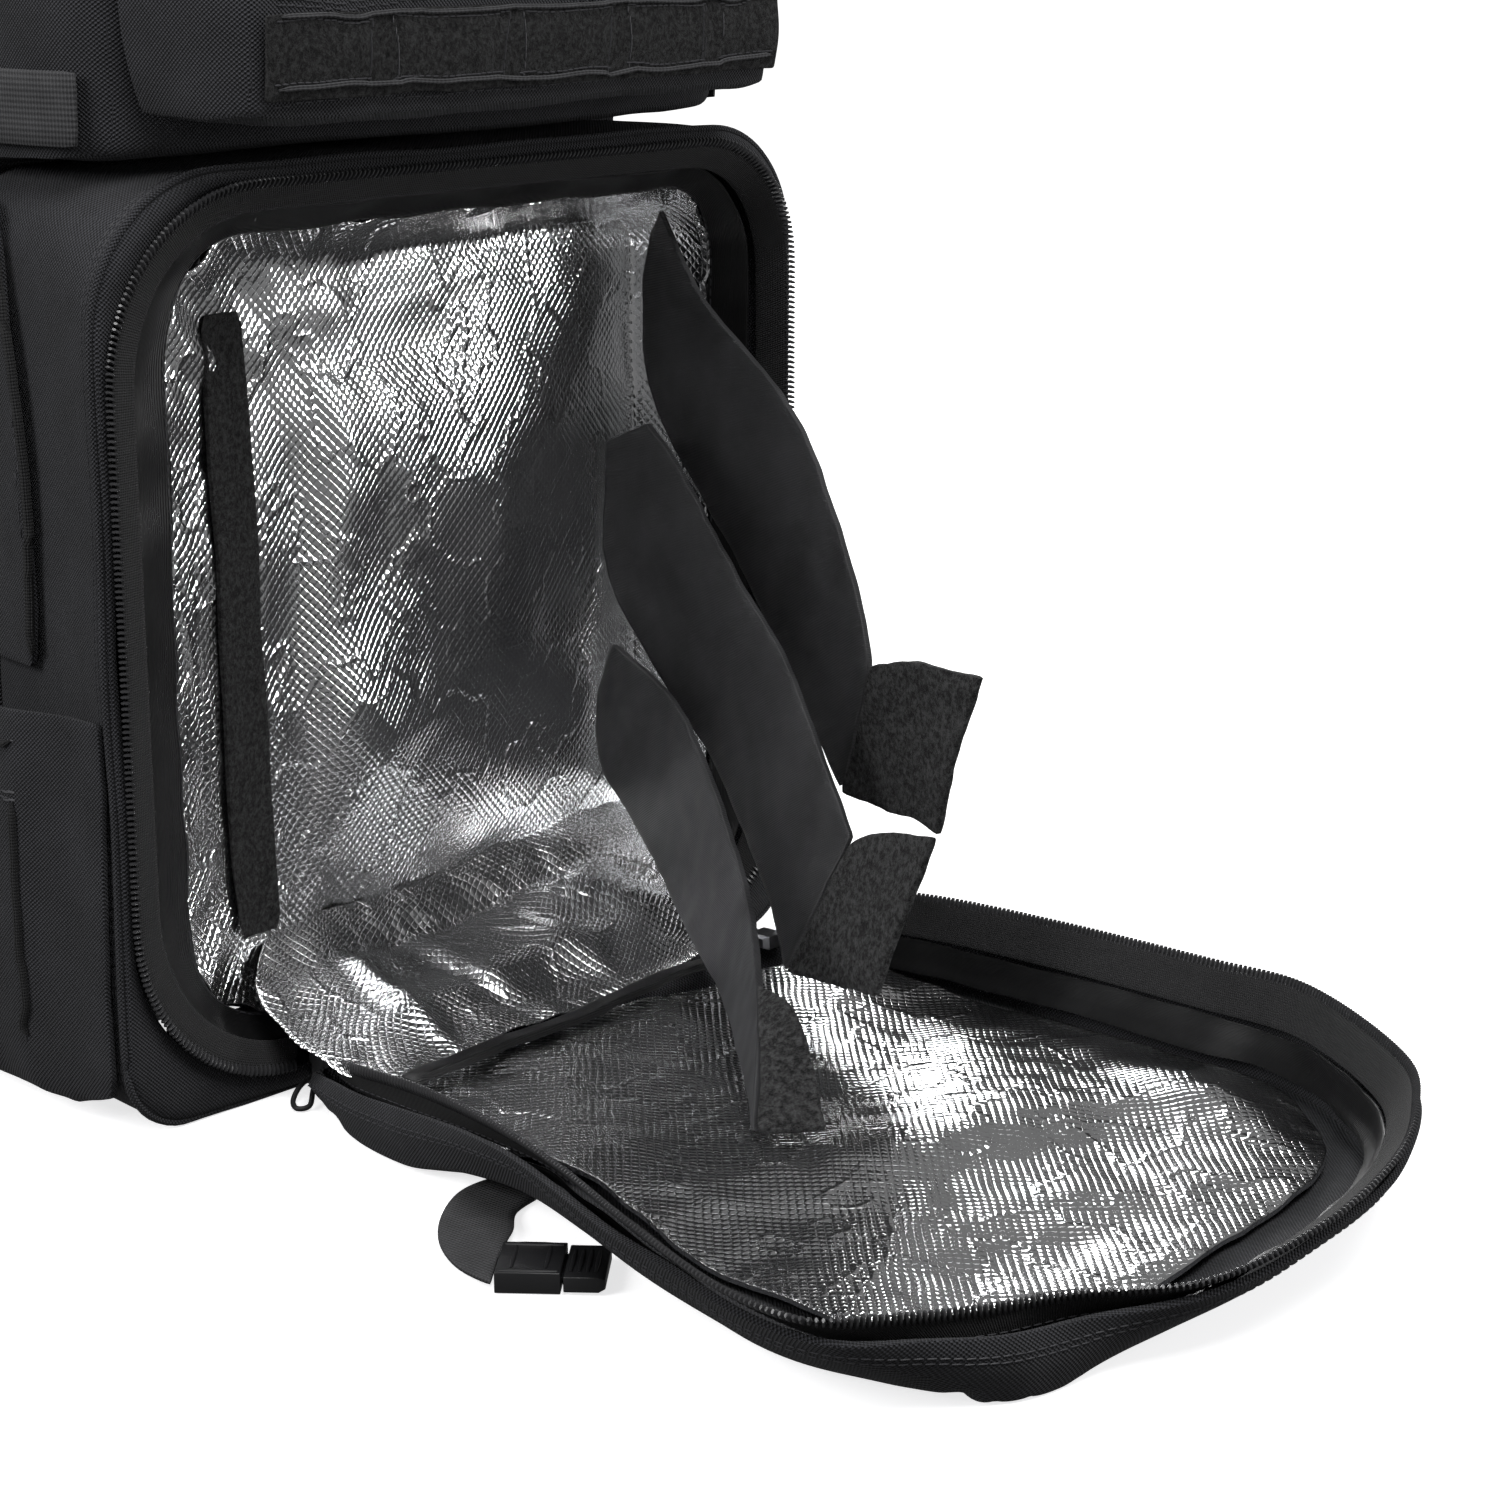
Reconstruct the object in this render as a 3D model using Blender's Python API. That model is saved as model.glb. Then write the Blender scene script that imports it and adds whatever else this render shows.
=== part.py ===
"""Gym backpack with an insulated front compartment, its lid open on the floor.

Units are metres. +X is the wearer's left to right seen from the front, +Y runs from the front into
the backpack, +Z is up. Pieces are laid out from the plane of the zip opening and then moved so that
the origin lies in the middle of the base.
"""
import math

import bmesh
import bpy
from mathutils import Vector

for item in list(bpy.data.objects):
    bpy.data.objects.remove(item, do_unlink=True)

# Driving sizes
COOLER_BACK = 0.0745
LEDGE = 0.305
TUB_TOP = 0.455
CAP_BOTTOM = 0.4605
BASE_MIDDLE = 0.140
CLOTH = 0.0025
PADDING = 0.0022
GAP = 0.0004

BLACK_CLOTH = (0.020, 0.021, 0.024)
BLACK_NYLON = (0.016, 0.016, 0.018)
BLACK_TAPE = (0.014, 0.014, 0.015)
BLACK_PLASTIC = (0.012, 0.012, 0.013)
SILVER_FOIL = (0.78, 0.79, 0.80)
STEEL = (0.55, 0.55, 0.56)


def material(name, colour, roughness, metallic=0.0):
    result = bpy.data.materials.new(name)
    result.use_nodes = True
    shader = result.node_tree.nodes["Principled BSDF"]
    shader.inputs["Base Color"].default_value = (*colour, 1.0)
    shader.inputs["Roughness"].default_value = roughness
    shader.inputs["Metallic"].default_value = metallic
    return result


def add_mesh(name, points, faces, colour, roughness, metallic=0.0):
    """One closed body, moved from the layout to the base's middle."""
    mesh = bpy.data.meshes.new(name)
    mesh.from_pydata([(p[0], p[1] - BASE_MIDDLE, p[2]) for p in points], [], faces)
    work = bmesh.new()
    work.from_mesh(mesh)
    bmesh.ops.remove_doubles(work, verts=work.verts, dist=0.00001)
    bmesh.ops.dissolve_degenerate(work, dist=0.00001, edges=work.edges)
    bmesh.ops.recalc_face_normals(work, faces=work.faces)
    work.to_mesh(mesh)
    work.free()
    result = bpy.data.objects.new(name, mesh)
    bpy.context.scene.collection.objects.link(result)
    mesh.materials.append(material(name, colour, roughness, metallic))
    return result


def normals(rows, wrap):
    """A unit normal at each point of a grid, from its neighbours."""
    result = []
    for i, row in enumerate(rows):
        line = []
        for j, point in enumerate(row):
            count = len(row)
            before = row[(j - 1) % count] if wrap else row[max(j - 1, 0)]
            after = row[(j + 1) % count] if wrap else row[min(j + 1, count - 1)]
            along = after - before
            across = rows[min(i + 1, len(rows) - 1)][j] - rows[max(i - 1, 0)][j]
            normal = along.cross(across)
            line.append(normal.normalized() if normal.length > 1e-12 else Vector((0, 0, 1)))
        result.append(line)
    return result


def sheet(name, rows, thickness, look, wrap=False, close_first=False, close_last=False):
    """Cloth of even thickness: the rows give one face, the other lies along the normals."""
    rows = [[Vector(p) for p in row] for row in rows]
    offset = normals(rows, wrap)
    count = len(rows[0])
    points = [p for row in rows for p in row]
    points += [p + n * thickness for row, line in zip(rows, offset) for p, n in zip(row, line)]
    half = len(rows) * count
    faces = []
    for i in range(len(rows) - 1):
        for j in range(count if wrap else count - 1):
            k = (j + 1) % count
            quad = (i * count + j, i * count + k, (i + 1) * count + k, (i + 1) * count + j)
            faces += [quad, tuple(half + v for v in reversed(quad))]
    for i, closed in ((0, close_first), (len(rows) - 1, close_last)):
        edge = [i * count + j for j in range(count)]
        if closed:
            faces += [tuple(edge), tuple(half + v for v in reversed(edge))]
        else:
            for j in range(count if wrap else count - 1):
                a, b = edge[j], edge[(j + 1) % count]
                faces.append((a, b, half + b, half + a))
    if not wrap:
        for j in (0, count - 1):
            for i in range(len(rows) - 1):
                a, b = i * count + j, (i + 1) * count + j
                faces.append((a, b, half + b, half + a))
    return add_mesh(name, points, faces, *look)


def solid(name, rows, look):
    """A lofted solid through closed rows, capped at both ends."""
    count = len(rows[0])
    points = [Vector(p) for row in rows for p in row]
    faces = [tuple(range(count)), tuple((len(rows) - 1) * count + j for j in range(count))]
    for i in range(len(rows) - 1):
        for j in range(count):
            k = (j + 1) % count
            faces.append((i * count + j, i * count + k, (i + 1) * count + k, (i + 1) * count + j))
    return add_mesh(name, points, faces, *look)


def sweep(name, path, section, up, look, wrap=False):
    """A section of (sideways, upwards) offsets carried along a path."""
    path = [Vector(p) for p in path]
    count = len(path)
    rows = []
    for i, point in enumerate(path):
        before = path[(i - 1) % count] if wrap else path[max(i - 1, 0)]
        after = path[(i + 1) % count] if wrap else path[min(i + 1, count - 1)]
        along = (after - before).normalized()
        top = Vector(up(point) if callable(up) else up)
        side = along.cross(top).normalized()
        top = side.cross(along).normalized()
        rows.append([point + side * a + top * b for a, b in section])
    if wrap:
        size = len(section)
        faces = []
        for i in range(count):
            n = (i + 1) % count
            for j in range(size):
                k = (j + 1) % size
                faces.append((i * size + j, i * size + k, n * size + k, n * size + j))
        return add_mesh(name, [p for row in rows for p in row], faces, *look)
    return solid(name, rows, look)


def circle(radius, sides):
    return [(radius * math.cos(2 * math.pi * k / sides), radius * math.sin(2 * math.pi * k / sides))
            for k in range(sides)]


def bar(half_side, half_top):
    return [(-half_side, -half_top), (half_side, -half_top), (half_side, half_top), (-half_side, half_top)]


def smooth(stations, steps):
    """A rounded curve through the stations, the same number of steps between each two."""
    stations = [Vector(p) for p in stations]
    result = []
    for i in range(len(stations) - 1):
        a = stations[max(i - 1, 0)]
        b, c = stations[i], stations[i + 1]
        d = stations[min(i + 2, len(stations) - 1)]
        for k in range(steps):
            t = k / steps
            result.append(0.5 * ((2 * b) + (c - a) * t + (2 * a - 5 * b + 4 * c - d) * t * t
                                 + (3 * b - a - 3 * c + d) * t ** 3))
    return result + [stations[-1]]


def lerp(a, b, t):
    return a + (b - a) * t


def table(rows, value):
    """Values between the rows of a table whose first column rises."""
    for low, high in zip(rows, rows[1:]):
        if value <= high[0]:
            t = max(0.0, (value - low[0]) / (high[0] - low[0]))
            return [lerp(a, b, t) for a, b in zip(low, high)]
    return list(rows[-1])


def rounded(low_u, high_u, low_v, high_v, radii, across=5, along=5, arc=4):
    """A rectangle with rounded corners: low-low, high-low, high-high, low-high radii."""
    corners = (((low_u, low_v), (1, 1), 180, radii[0]), ((high_u, low_v), (-1, 1), 270, radii[1]),
               ((high_u, high_v), (-1, -1), 0, radii[2]), ((low_u, high_v), (1, -1), 90, radii[3]))
    points = []
    for index, ((u, v), (du, dv), start, radius) in enumerate(corners):
        for k in range(arc + 1):
            angle = math.radians(start + 90 * k / arc)
            points.append((u + du * radius + radius * math.cos(angle), v + dv * radius + radius * math.sin(angle)))
        following, (eu, ev), _, next_radius = corners[(index + 1) % 4]
        inner = across if index % 2 == 0 else along
        end_angle = math.radians(corners[(index + 1) % 4][2])
        end = (following[0] + eu * next_radius + next_radius * math.cos(end_angle),
               following[1] + ev * next_radius + next_radius * math.sin(end_angle))
        begin = points[-1]
        for k in range(1, inner + 1):
            t = k / (inner + 1)
            points.append((lerp(begin[0], end[0], t), lerp(begin[1], end[1], t)))
    return points


# Main body: height, half width, front, back, front corner radius, back corner radius
BODY = (
    (0.0000, 0.1290, 0.0840, 0.1900, 0.020, 0.030),
    (0.0060, 0.1390, 0.0775, 0.2000, 0.010, 0.034),
    (0.0200, 0.1430, 0.0750, 0.2045, 0.006, 0.036),
    (0.1000, 0.1450, 0.0745, 0.2070, 0.004, 0.036),
    (0.2000, 0.1450, 0.0745, 0.2070, 0.004, 0.036),
    (0.2980, 0.1450, 0.0745, 0.2065, 0.004, 0.036),
    (0.3040, 0.1450, 0.0735, 0.2065, 0.006, 0.036),
    (0.3062, 0.1450, 0.0660, 0.2065, 0.010, 0.036),
    (0.3072, 0.1445, 0.0120, 0.2065, 0.034, 0.036),
    (0.3110, 0.1450, 0.0045, 0.2065, 0.036, 0.036),
    (0.3500, 0.1450, 0.0030, 0.2060, 0.036, 0.036),
    (0.4050, 0.1430, 0.0060, 0.2050, 0.036, 0.036),
    (0.4550, 0.1400, 0.0110, 0.2030, 0.036, 0.036),
    (0.4605, 0.1395, 0.0118, 0.2026, 0.036, 0.036),
    (0.4850, 0.1350, 0.0180, 0.1990, 0.040, 0.040),
    (0.5020, 0.1230, 0.0300, 0.1900, 0.044, 0.044),
    (0.5130, 0.1030, 0.0480, 0.1760, 0.044, 0.044),
    (0.5190, 0.0750, 0.0700, 0.1580, 0.036, 0.036),
)


def body_ring(height, grow=0.0):
    """The main body's outline at a height, bowed a little on its four sides."""
    _, half, front, back, front_radius, back_radius = table(BODY, height)
    ring = []
    radii = (front_radius + grow, front_radius + grow, back_radius + grow, back_radius + grow)
    for x, y in rounded(-half - grow, half + grow, front - grow, back + grow, radii, 3, 3, 3):
        ring.append((x, y, height))
    return ring


cloth = (BLACK_CLOTH, 0.85)
nylon = (BLACK_NYLON, 0.45)
tape = (BLACK_TAPE, 0.9)
plastic = (BLACK_PLASTIC, 0.45)
foil = (SILVER_FOIL, 0.25, 1.0)
steel = (STEEL, 0.35, 1.0)

# Main compartment: an open tub of cloth, stepped back behind the cool box, with a domed top panel
tub_heights = [row[0] for row in BODY if row[0] <= TUB_TOP]
sheet("main_body", [body_ring(z) for z in tub_heights], -CLOTH, cloth, wrap=True, close_first=True)
cap_heights = [row[0] for row in BODY if row[0] >= CAP_BOTTOM]
sheet("top_panel", [body_ring(z) for z in cap_heights], -CLOTH, cloth, wrap=True, close_last=True)

# Its zip runs over the joint of tub and top panel, round the front and both sides
zip_run = [j for j in range(len(body_ring(0.45)))]
ring_low, ring_mid, ring_high = (body_ring(z, 0.0010) for z in (0.4490, 0.4578, 0.4665))
front_run = [j for j in zip_run if ring_mid[j][1] < 0.165]
start = min(front_run, key=lambda j: (ring_mid[j][0] > 0, -ring_mid[j][1]))
order = [(start + k) % len(zip_run) for k in range(len(zip_run))]
order = [j for j in order if ring_mid[j][1] < 0.165]
sheet("main_zip_tape", [[ring[j] for j in order] for ring in (ring_low, ring_mid, ring_high)], 0.0010, tape)
coil_ring = body_ring(0.4578, 0.0010 + 0.0010 + GAP + 0.0016)
sweep("main_zip_coil", [coil_ring[j] for j in order], circle(0.0016, 5), (0, 0, 1), tape)


# Cool compartment: rings in the XZ plane, each with its own depth on the left, right, top and bottom
def front_ring(left, right, bottom, top, radii, depths, even=False):
    """A rounded ring seen from the front. Depths are left, right, top and bottom."""
    ring = []
    points = rounded(left, right, bottom, top, radii, 4, 4, 4)
    count = len(points)
    for j, (x, z) in enumerate(points):
        if even:
            t = (x - left) / (right - left)
            ring.append((x, lerp(depths[0], depths[1], t), z))
            continue
        ax, az = points[(j + 1) % count][0] - points[j - 1][0], points[(j + 1) % count][1] - points[j - 1][1]
        length = math.hypot(ax, az)
        nx, nz = az / length, -ax / length
        weights = (max(0, -nx) ** 2, max(0, nx) ** 2, max(0, nz) ** 2, max(0, -nz) ** 2)
        ring.append((x, sum(w * d for w, d in zip(weights, depths)) / sum(weights), z))
    return ring


# Name, left, right, bottom, top, corner radii (bottom left, bottom right, top right, top left), depths
COOLER = {
    "back": (-0.1465, 0.1465, 0.0012, 0.3028, (0.020, 0.020, 0.020, 0.020), (0.0728, 0.0728, 0.0728, 0.0728)),
    "waist": (-0.1500, 0.1515, 0.0010, 0.3030, (0.020, 0.020, 0.025, 0.030), (0.0350, 0.0350, 0.0350, 0.0350)),
    "edge": (-0.1560, 0.1585, 0.0010, 0.3030, (0.024, 0.024, 0.040, 0.050), (0.0014, 0.0014, 0.0014, 0.0014)),
    "frame": (-0.1510, 0.1545, 0.0060, 0.2985, (0.055, 0.048, 0.044, 0.058), (0.0002, 0.0002, 0.0002, 0.0002)),
    "coil": (-0.1530, 0.1550, 0.0105, 0.2990, (0.062, 0.055, 0.045, 0.060), (-0.0028, -0.0028, -0.0028, -0.0028)),
    "tape": (-0.1400, 0.1500, 0.0175, 0.2900, (0.055, 0.050, 0.042, 0.052), (0.0030, 0.0095, 0.0045, 0.0030)),
    "facing": (-0.1405, 0.1480, 0.0175, 0.2895, (0.054, 0.048, 0.041, 0.051), (0.0045, 0.0112, 0.0060, 0.0045)),
    "seam": (-0.1180, 0.1430, 0.0240, 0.2810, (0.034, 0.030, 0.032, 0.038), (0.0145, 0.0270, 0.0180, 0.0150)),
    "foil": (-0.1195, 0.1430, 0.0230, 0.2820, (0.035, 0.031, 0.033, 0.039), (0.0160, 0.0290, 0.0196, 0.0166)),
    "corner": (-0.0760, 0.1380, 0.0375, 0.2680, (0.018, 0.016, 0.016, 0.018), (0.0280, 0.0620, 0.0, 0.0)),
}


def cooler(name, even=False):
    return front_ring(*COOLER[name], even)


sheet("cooler_shell", [cooler("back"), cooler("waist"), cooler("edge"), cooler("frame")], -CLOTH, cloth, wrap=True)

# The bag side of the open zip: an edge that starts and ends at the two sliders on the lower side
coil_line = cooler("coil")
count = len(coil_line)
first = min(range(count), key=lambda j: math.hypot(coil_line[j][0] - 0.098, coil_line[j][2] - 0.0105))
last = min(range(count), key=lambda j: math.hypot(coil_line[j][0] + 0.091, coil_line[j][2] - 0.0105))
upper = [(first + k) % count for k in range((last - first) % count + 1)]
sweep("cooler_zip_coil", [coil_line[j] for j in upper], circle(0.0017, 6), (0, -1, 0), tape)
tape_line = cooler("tape")
outer_edge = []
for j in upper:
    step = Vector(tape_line[j]) - Vector(coil_line[j])
    outer_edge.append(Vector(coil_line[j]) + step.normalized() * 0.0024)
sheet("cooler_zip_tape", [outer_edge, [tape_line[j] for j in upper]], 0.0009, tape)

# Smooth facing, then the padded foil lining of the flared walls and the back
facing_rings = [cooler("facing"), cooler("seam")]
middle = [tuple(Vector(a).lerp(Vector(b), 0.5) + Vector((0, 0.0008, 0))) for a, b in zip(*facing_rings)]
sheet("cooler_facing", [facing_rings[0], middle, facing_rings[1]], -0.0010, nylon, wrap=True)
corner = cooler("corner", True)
centre = Vector((0.034, 0.046, 0.154))


def back_ring(share, swell):
    """The padded back wall, swollen towards the front in its middle."""
    return [tuple(centre.lerp(Vector(p), share) + Vector((0, -swell, 0))) for p in corner]


wall_mid = [tuple(Vector(a).lerp(Vector(b), 0.5) + Vector((0, 0.0015, 0))) for a, b in zip(cooler("foil"), corner)]
sheet("cooler_lining", [cooler("foil"), wall_mid, corner, back_ring(0.8, 0.004), back_ring(0.3, 0.009)],
      -PADDING, foil, wrap=True, close_last=True)

# Loop tape up the left inner wall, where the dividers' tabs are fastened
strip_rows = []
for side in (0.50, 0.98):
    row = []
    for t in (0.0, 0.25, 0.5, 0.75, 1.0):
        z = lerp(0.048, 0.256, t)
        x, y = lerp(-0.1180, -0.0760, side), lerp(0.0145, 0.0280, side)
        row.append((x + lerp(0.004, -0.001, t), y - 0.0006, z))
    strip_rows.append(row)
sheet("side_loop_strip", strip_rows, -0.0015, tape)

# Padded foil floor, from the back wall's fold to the hinge seam. Depth, left, right, height
FLOOR = (
    (-0.0480, -0.0880, 0.0660, 0.0165),
    (-0.0300, -0.0930, 0.0840, 0.0205),
    (-0.0080, -0.0930, 0.1080, 0.0285),
    (0.0140, -0.0820, 0.1220, 0.0365),
    (0.0265, -0.0600, 0.1240, 0.0450),
)
floor_rows = []
for depth, left, right, height in FLOOR:
    row = []
    for k in range(8):
        t = k / 7
        back = 0.028 * t * max(0.0, (depth + 0.048) / 0.078)
        wave = 0.0018 * math.sin(9.0 * t + 40 * depth)
        row.append((lerp(left, right, t), depth + back + 0.010 * t * (depth < -0.04), height + abs(wave)))
    floor_rows.append(row)
sheet("cooler_floor", floor_rows, -PADDING, foil)
bind = [(lerp(-0.0895, 0.0680, k / 8), lerp(-0.0560, -0.0455, k / 8), 0.0172 + 0.0012 * math.sin(k * 1.3))
        for k in range(9)]
sweep("hinge_binding", bind, [(-0.0045, -0.0010), (0.0045, -0.0010), (0.0030, 0.0012), (-0.0030, 0.0012)],
      (0, 0, 1), nylon)

# Hinge cloth between the cool box's lower edge and the lid's base
hinge_rows = []
for t in (0.0, 0.5, 1.0):
    hinge_rows.append([(lerp(-0.0880, 0.0990, k / 6), lerp(-0.0004, lerp(-0.0170, -0.0440, k / 6), t), 0.0046)
                       for k in range(7)])
sheet("hinge_panel", hinge_rows, -0.0020, cloth)

# Lid edge: the free zip edge from the near slider round to the far slider, x, y and z
LID_EDGE = (
    (-0.0890, -0.0130, 0.0135),
    (-0.1010, -0.0380, 0.0200),
    (-0.1100, -0.0800, 0.0260),
    (-0.1210, -0.1210, 0.0300),
    (-0.1340, -0.1640, 0.0320),
    (-0.1540, -0.2140, 0.0340),
    (-0.1680, -0.2600, 0.0340),
    (-0.1670, -0.2890, 0.0330),
    (-0.1470, -0.3020, 0.0300),
    (-0.1190, -0.3140, 0.0270),
    (-0.0920, -0.3250, 0.0260),
    (-0.0630, -0.3480, 0.0270),
    (-0.0260, -0.3590, 0.0340),
    (0.0130, -0.3580, 0.0410),
    (0.0450, -0.3460, 0.0450),
    (0.0800, -0.3200, 0.0450),
    (0.1210, -0.2600, 0.0420),
    (0.1270, -0.2150, 0.0400),
    (0.1300, -0.1490, 0.0380),
    (0.1280, -0.0950, 0.0360),
    (0.1230, -0.0600, 0.0310),
    (0.1060, -0.0460, 0.0200),
)
# Lid base: the outline of the outer cloth on the floor, a row for each row of the edge, x and y
LID_BASE = (
    (-0.0940, -0.0220),
    (-0.1060, -0.0450),
    (-0.1130, -0.0800),
    (-0.1160, -0.1210),
    (-0.1210, -0.1640),
    (-0.1300, -0.2140),
    (-0.1330, -0.2600),
    (-0.1310, -0.2900),
    (-0.1240, -0.3080),
    (-0.1080, -0.3190),
    (-0.0850, -0.3220),
    (-0.0500, -0.3230),
    (-0.0150, -0.3230),
    (0.0250, -0.3220),
    (0.0620, -0.3170),
    (0.0930, -0.3000),
    (0.1200, -0.2620),
    (0.1250, -0.2150),
    (0.1270, -0.1490),
    (0.1250, -0.0950),
    (0.1180, -0.0640),
    (0.1040, -0.0500),
)
edge_points = smooth(LID_EDGE, 2)
base_points = smooth([(x, y, 0.0) for x, y in LID_BASE], 2)
LID_MIDDLE = Vector((0.002, -0.185, 0.0))
HINGE_STEPS = 5


def base_height(x, y):
    """The outer cloth's height: its near edge is lifted where the strap passes under it."""
    lift = max(0.0, 1 - abs(y + 0.150) / 0.075) * max(0.0, min(1.0, (-0.030 - x) / 0.085))
    return 0.0012 + 0.0110 * lift


def lid_row(share, inset=0.0):
    """The lid's wall between its base at share 0 and its zip edge at share 1, moved inwards."""
    row = []
    last = len(edge_points) - 1
    for j, (edge, base) in enumerate(zip(edge_points, base_points)):
        low = Vector((base.x, base.y, base_height(base.x, base.y)))
        point = low.lerp(edge, share)
        run = base_points[min(j + 1, last)] - base_points[max(j - 1, 0)]
        inward = Vector((-run.y, run.x, 0)).normalized()
        row.append(point + inward * (inset - 0.005 * math.sin(math.pi * share)))
    return row


def hinge_closed(row, height=None):
    """Closes a lid row with a straight run along the hinge."""
    a, b = row[-1], row[0]
    run = [a.lerp(b, k / (HINGE_STEPS + 1)) for k in range(1, HINGE_STEPS + 1)]
    if height is not None:
        run = [Vector((p.x, p.y, height)) for p in run]
    return list(row) + run


def base_ring(share, inset, height):
    """A ring over the lid's base, shrunk towards its middle."""
    ring = []
    for p in hinge_closed(lid_row(0.0, inset)):
        q = LID_MIDDLE.lerp(Vector((p.x, p.y, 0)), share)
        rise = 0.0045 * max(0.0, min(1.0, (q.y + 0.110) / 0.050))
        ring.append(Vector((q.x, q.y, base_height(q.x, q.y) + height + (rise if height > 0.003 else 0.0))))
    return ring


sheet("lid_shell", [base_ring(0.25, 0.0, 0.0), hinge_closed(lid_row(0.0)), hinge_closed(lid_row(0.14), 0.0060),
                    hinge_closed(lid_row(0.5), 0.0095), hinge_closed(lid_row(0.80), 0.0115)],
      -CLOTH, cloth, wrap=True, close_first=True)
sheet("lid_lining", [base_ring(0.20, 0.0080, 0.0095), base_ring(0.60, 0.0080, 0.0075),
                     base_ring(0.97, 0.0090, 0.0080)], 0.0020, foil, wrap=True, close_first=True)
sheet("lid_wall_lining", [lid_row(0.34, 0.0085)[3:-3], lid_row(0.54, 0.0090)[3:-3]], 0.0010, nylon)
coil_row = lid_row(1.0, 0.0030)
sweep("lid_zip_coil", coil_row, circle(0.0017, 6), (0, 0, 1), tape)
inner_row = lid_row(0.60, 0.0098)
outer_row = [a + (b - a).normalized() * 0.0029 for a, b in zip(coil_row, inner_row)]
sheet("lid_zip_tape", [inner_row[2:-2], outer_row[2:-2]], -0.0009, tape)

# Dividers: smooth two-layer panels. Front edge x, y, z, then back edge x, y, z, from root to tab
DIVIDERS = {
    "divider_top": (
        (0.1298, 0.0356, 0.2710, 0.1308, 0.0410, 0.2620),
        (0.1260, 0.0155, 0.2440, 0.1285, 0.0450, 0.2475),
        (0.1240, -0.0087, 0.2265, 0.1290, 0.0465, 0.2240),
        (0.1200, -0.0314, 0.2114, 0.1290, 0.0410, 0.2050),
        (0.1150, -0.0532, 0.1877, 0.1300, 0.0190, 0.1692),
        (0.1120, -0.0699, 0.1582, 0.1280, -0.0099, 0.1379),
        (0.1100, -0.0830, 0.1240, 0.1180, -0.0620, 0.0720),
    ),
    "divider_middle": (
        (0.1140, 0.0290, 0.1955, 0.1140, 0.0492, 0.1870),
        (0.1110, 0.0070, 0.1770, 0.1140, 0.0513, 0.1650),
        (0.1060, -0.0135, 0.1585, 0.1120, 0.0493, 0.1385),
        (0.1010, -0.0340, 0.1390, 0.1120, 0.0190, 0.1000),
        (0.0930, -0.0590, 0.1210, 0.1030, -0.0150, 0.0755),
        (0.0870, -0.0808, 0.0945, 0.0930, -0.0420, 0.0510),
        (0.0800, -0.1000, 0.0705, 0.0730, -0.0760, 0.0180),
    ),
    "divider_low": (
        (0.1060, 0.0400, 0.1120, 0.1080, 0.0500, 0.0900),
        (0.0980, 0.0130, 0.1050, 0.1010, 0.0430, 0.0680),
        (0.0880, -0.0140, 0.0965, 0.0940, 0.0230, 0.0560),
        (0.0760, -0.0400, 0.0760, 0.0800, -0.0070, 0.0410),
        (0.0560, -0.0690, 0.0600, 0.0600, -0.0410, 0.0275),
        (0.0300, -0.1000, 0.0470, 0.0180, -0.1000, 0.0200),
        (0.0000, -0.1290, 0.0430, -0.0430, -0.1640, 0.0150),
    ),
}
# Hook-tape ends of the dividers, in the same columns, from the divider's end to the free end
TABS = {
    "divider_top_tab": (
        (0.1096, -0.0839, 0.1237, 0.1177, -0.0627, 0.0713),
        (0.1050, -0.1054, 0.1296, 0.1110, -0.0870, 0.0713),
        (0.1010, -0.1253, 0.1311, 0.1060, -0.1038, 0.0742),
        (0.0980, -0.1401, 0.1306, 0.1010, -0.1199, 0.0699),
    ),
    "divider_middle_tab": (
        (0.0795, -0.1009, 0.0706, 0.0725, -0.0769, 0.0181),
        (0.0730, -0.1211, 0.0778, 0.0660, -0.1013, 0.0196),
        (0.0660, -0.1419, 0.0814, 0.0620, -0.1142, 0.0215),
        (0.0620, -0.1506, 0.0837, 0.0580, -0.1281, 0.0233),
    ),
    "divider_low_tab": (
        (-0.0006, -0.1299, 0.0430, -0.0436, -0.1649, 0.0150),
        (-0.0030, -0.1380, 0.0435, -0.0390, -0.1740, 0.0155),
        (-0.0040, -0.1460, 0.0440, -0.0280, -0.1800, 0.0155),
    ),
}


def ruled(rows, steps, across=3):
    """Rows of points across a sheet, from its two smoothed edges."""
    front = smooth([row[:3] for row in rows], steps)
    back = smooth([row[3:] for row in rows], steps)
    return [[a.lerp(b, k / across) for k in range(across + 1)] for a, b in zip(front, back)]


for name, rows in DIVIDERS.items():
    sheet(name, ruled(rows, 2), 0.0024, nylon)
for name, rows in TABS.items():
    sheet(name, ruled(rows, 1), 0.0024, tape)


def front_y(x, z):
    """Depth of the main body's front face, its rounded corners included."""
    _, half, front, _, radius, _ = table(BODY, z)
    over = max(0.0, abs(x) - (half - radius))
    return front + radius - math.sqrt(max(0.0, radius ** 2 - over ** 2))


# Upper front pocket: height, depth of its face, half width of its face, half width at the body
POCKET = (
    (0.3185, -0.0290, 0.1080, 0.1220),
    (0.3215, -0.0350, 0.1130, 0.1300),
    (0.3400, -0.0375, 0.1140, 0.1340),
    (0.3800, -0.0365, 0.1140, 0.1340),
    (0.4200, -0.0285, 0.1110, 0.1320),
    (0.4370, -0.0200, 0.1080, 0.1300),
)
POCKET_MIDDLE = -0.0045


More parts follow.
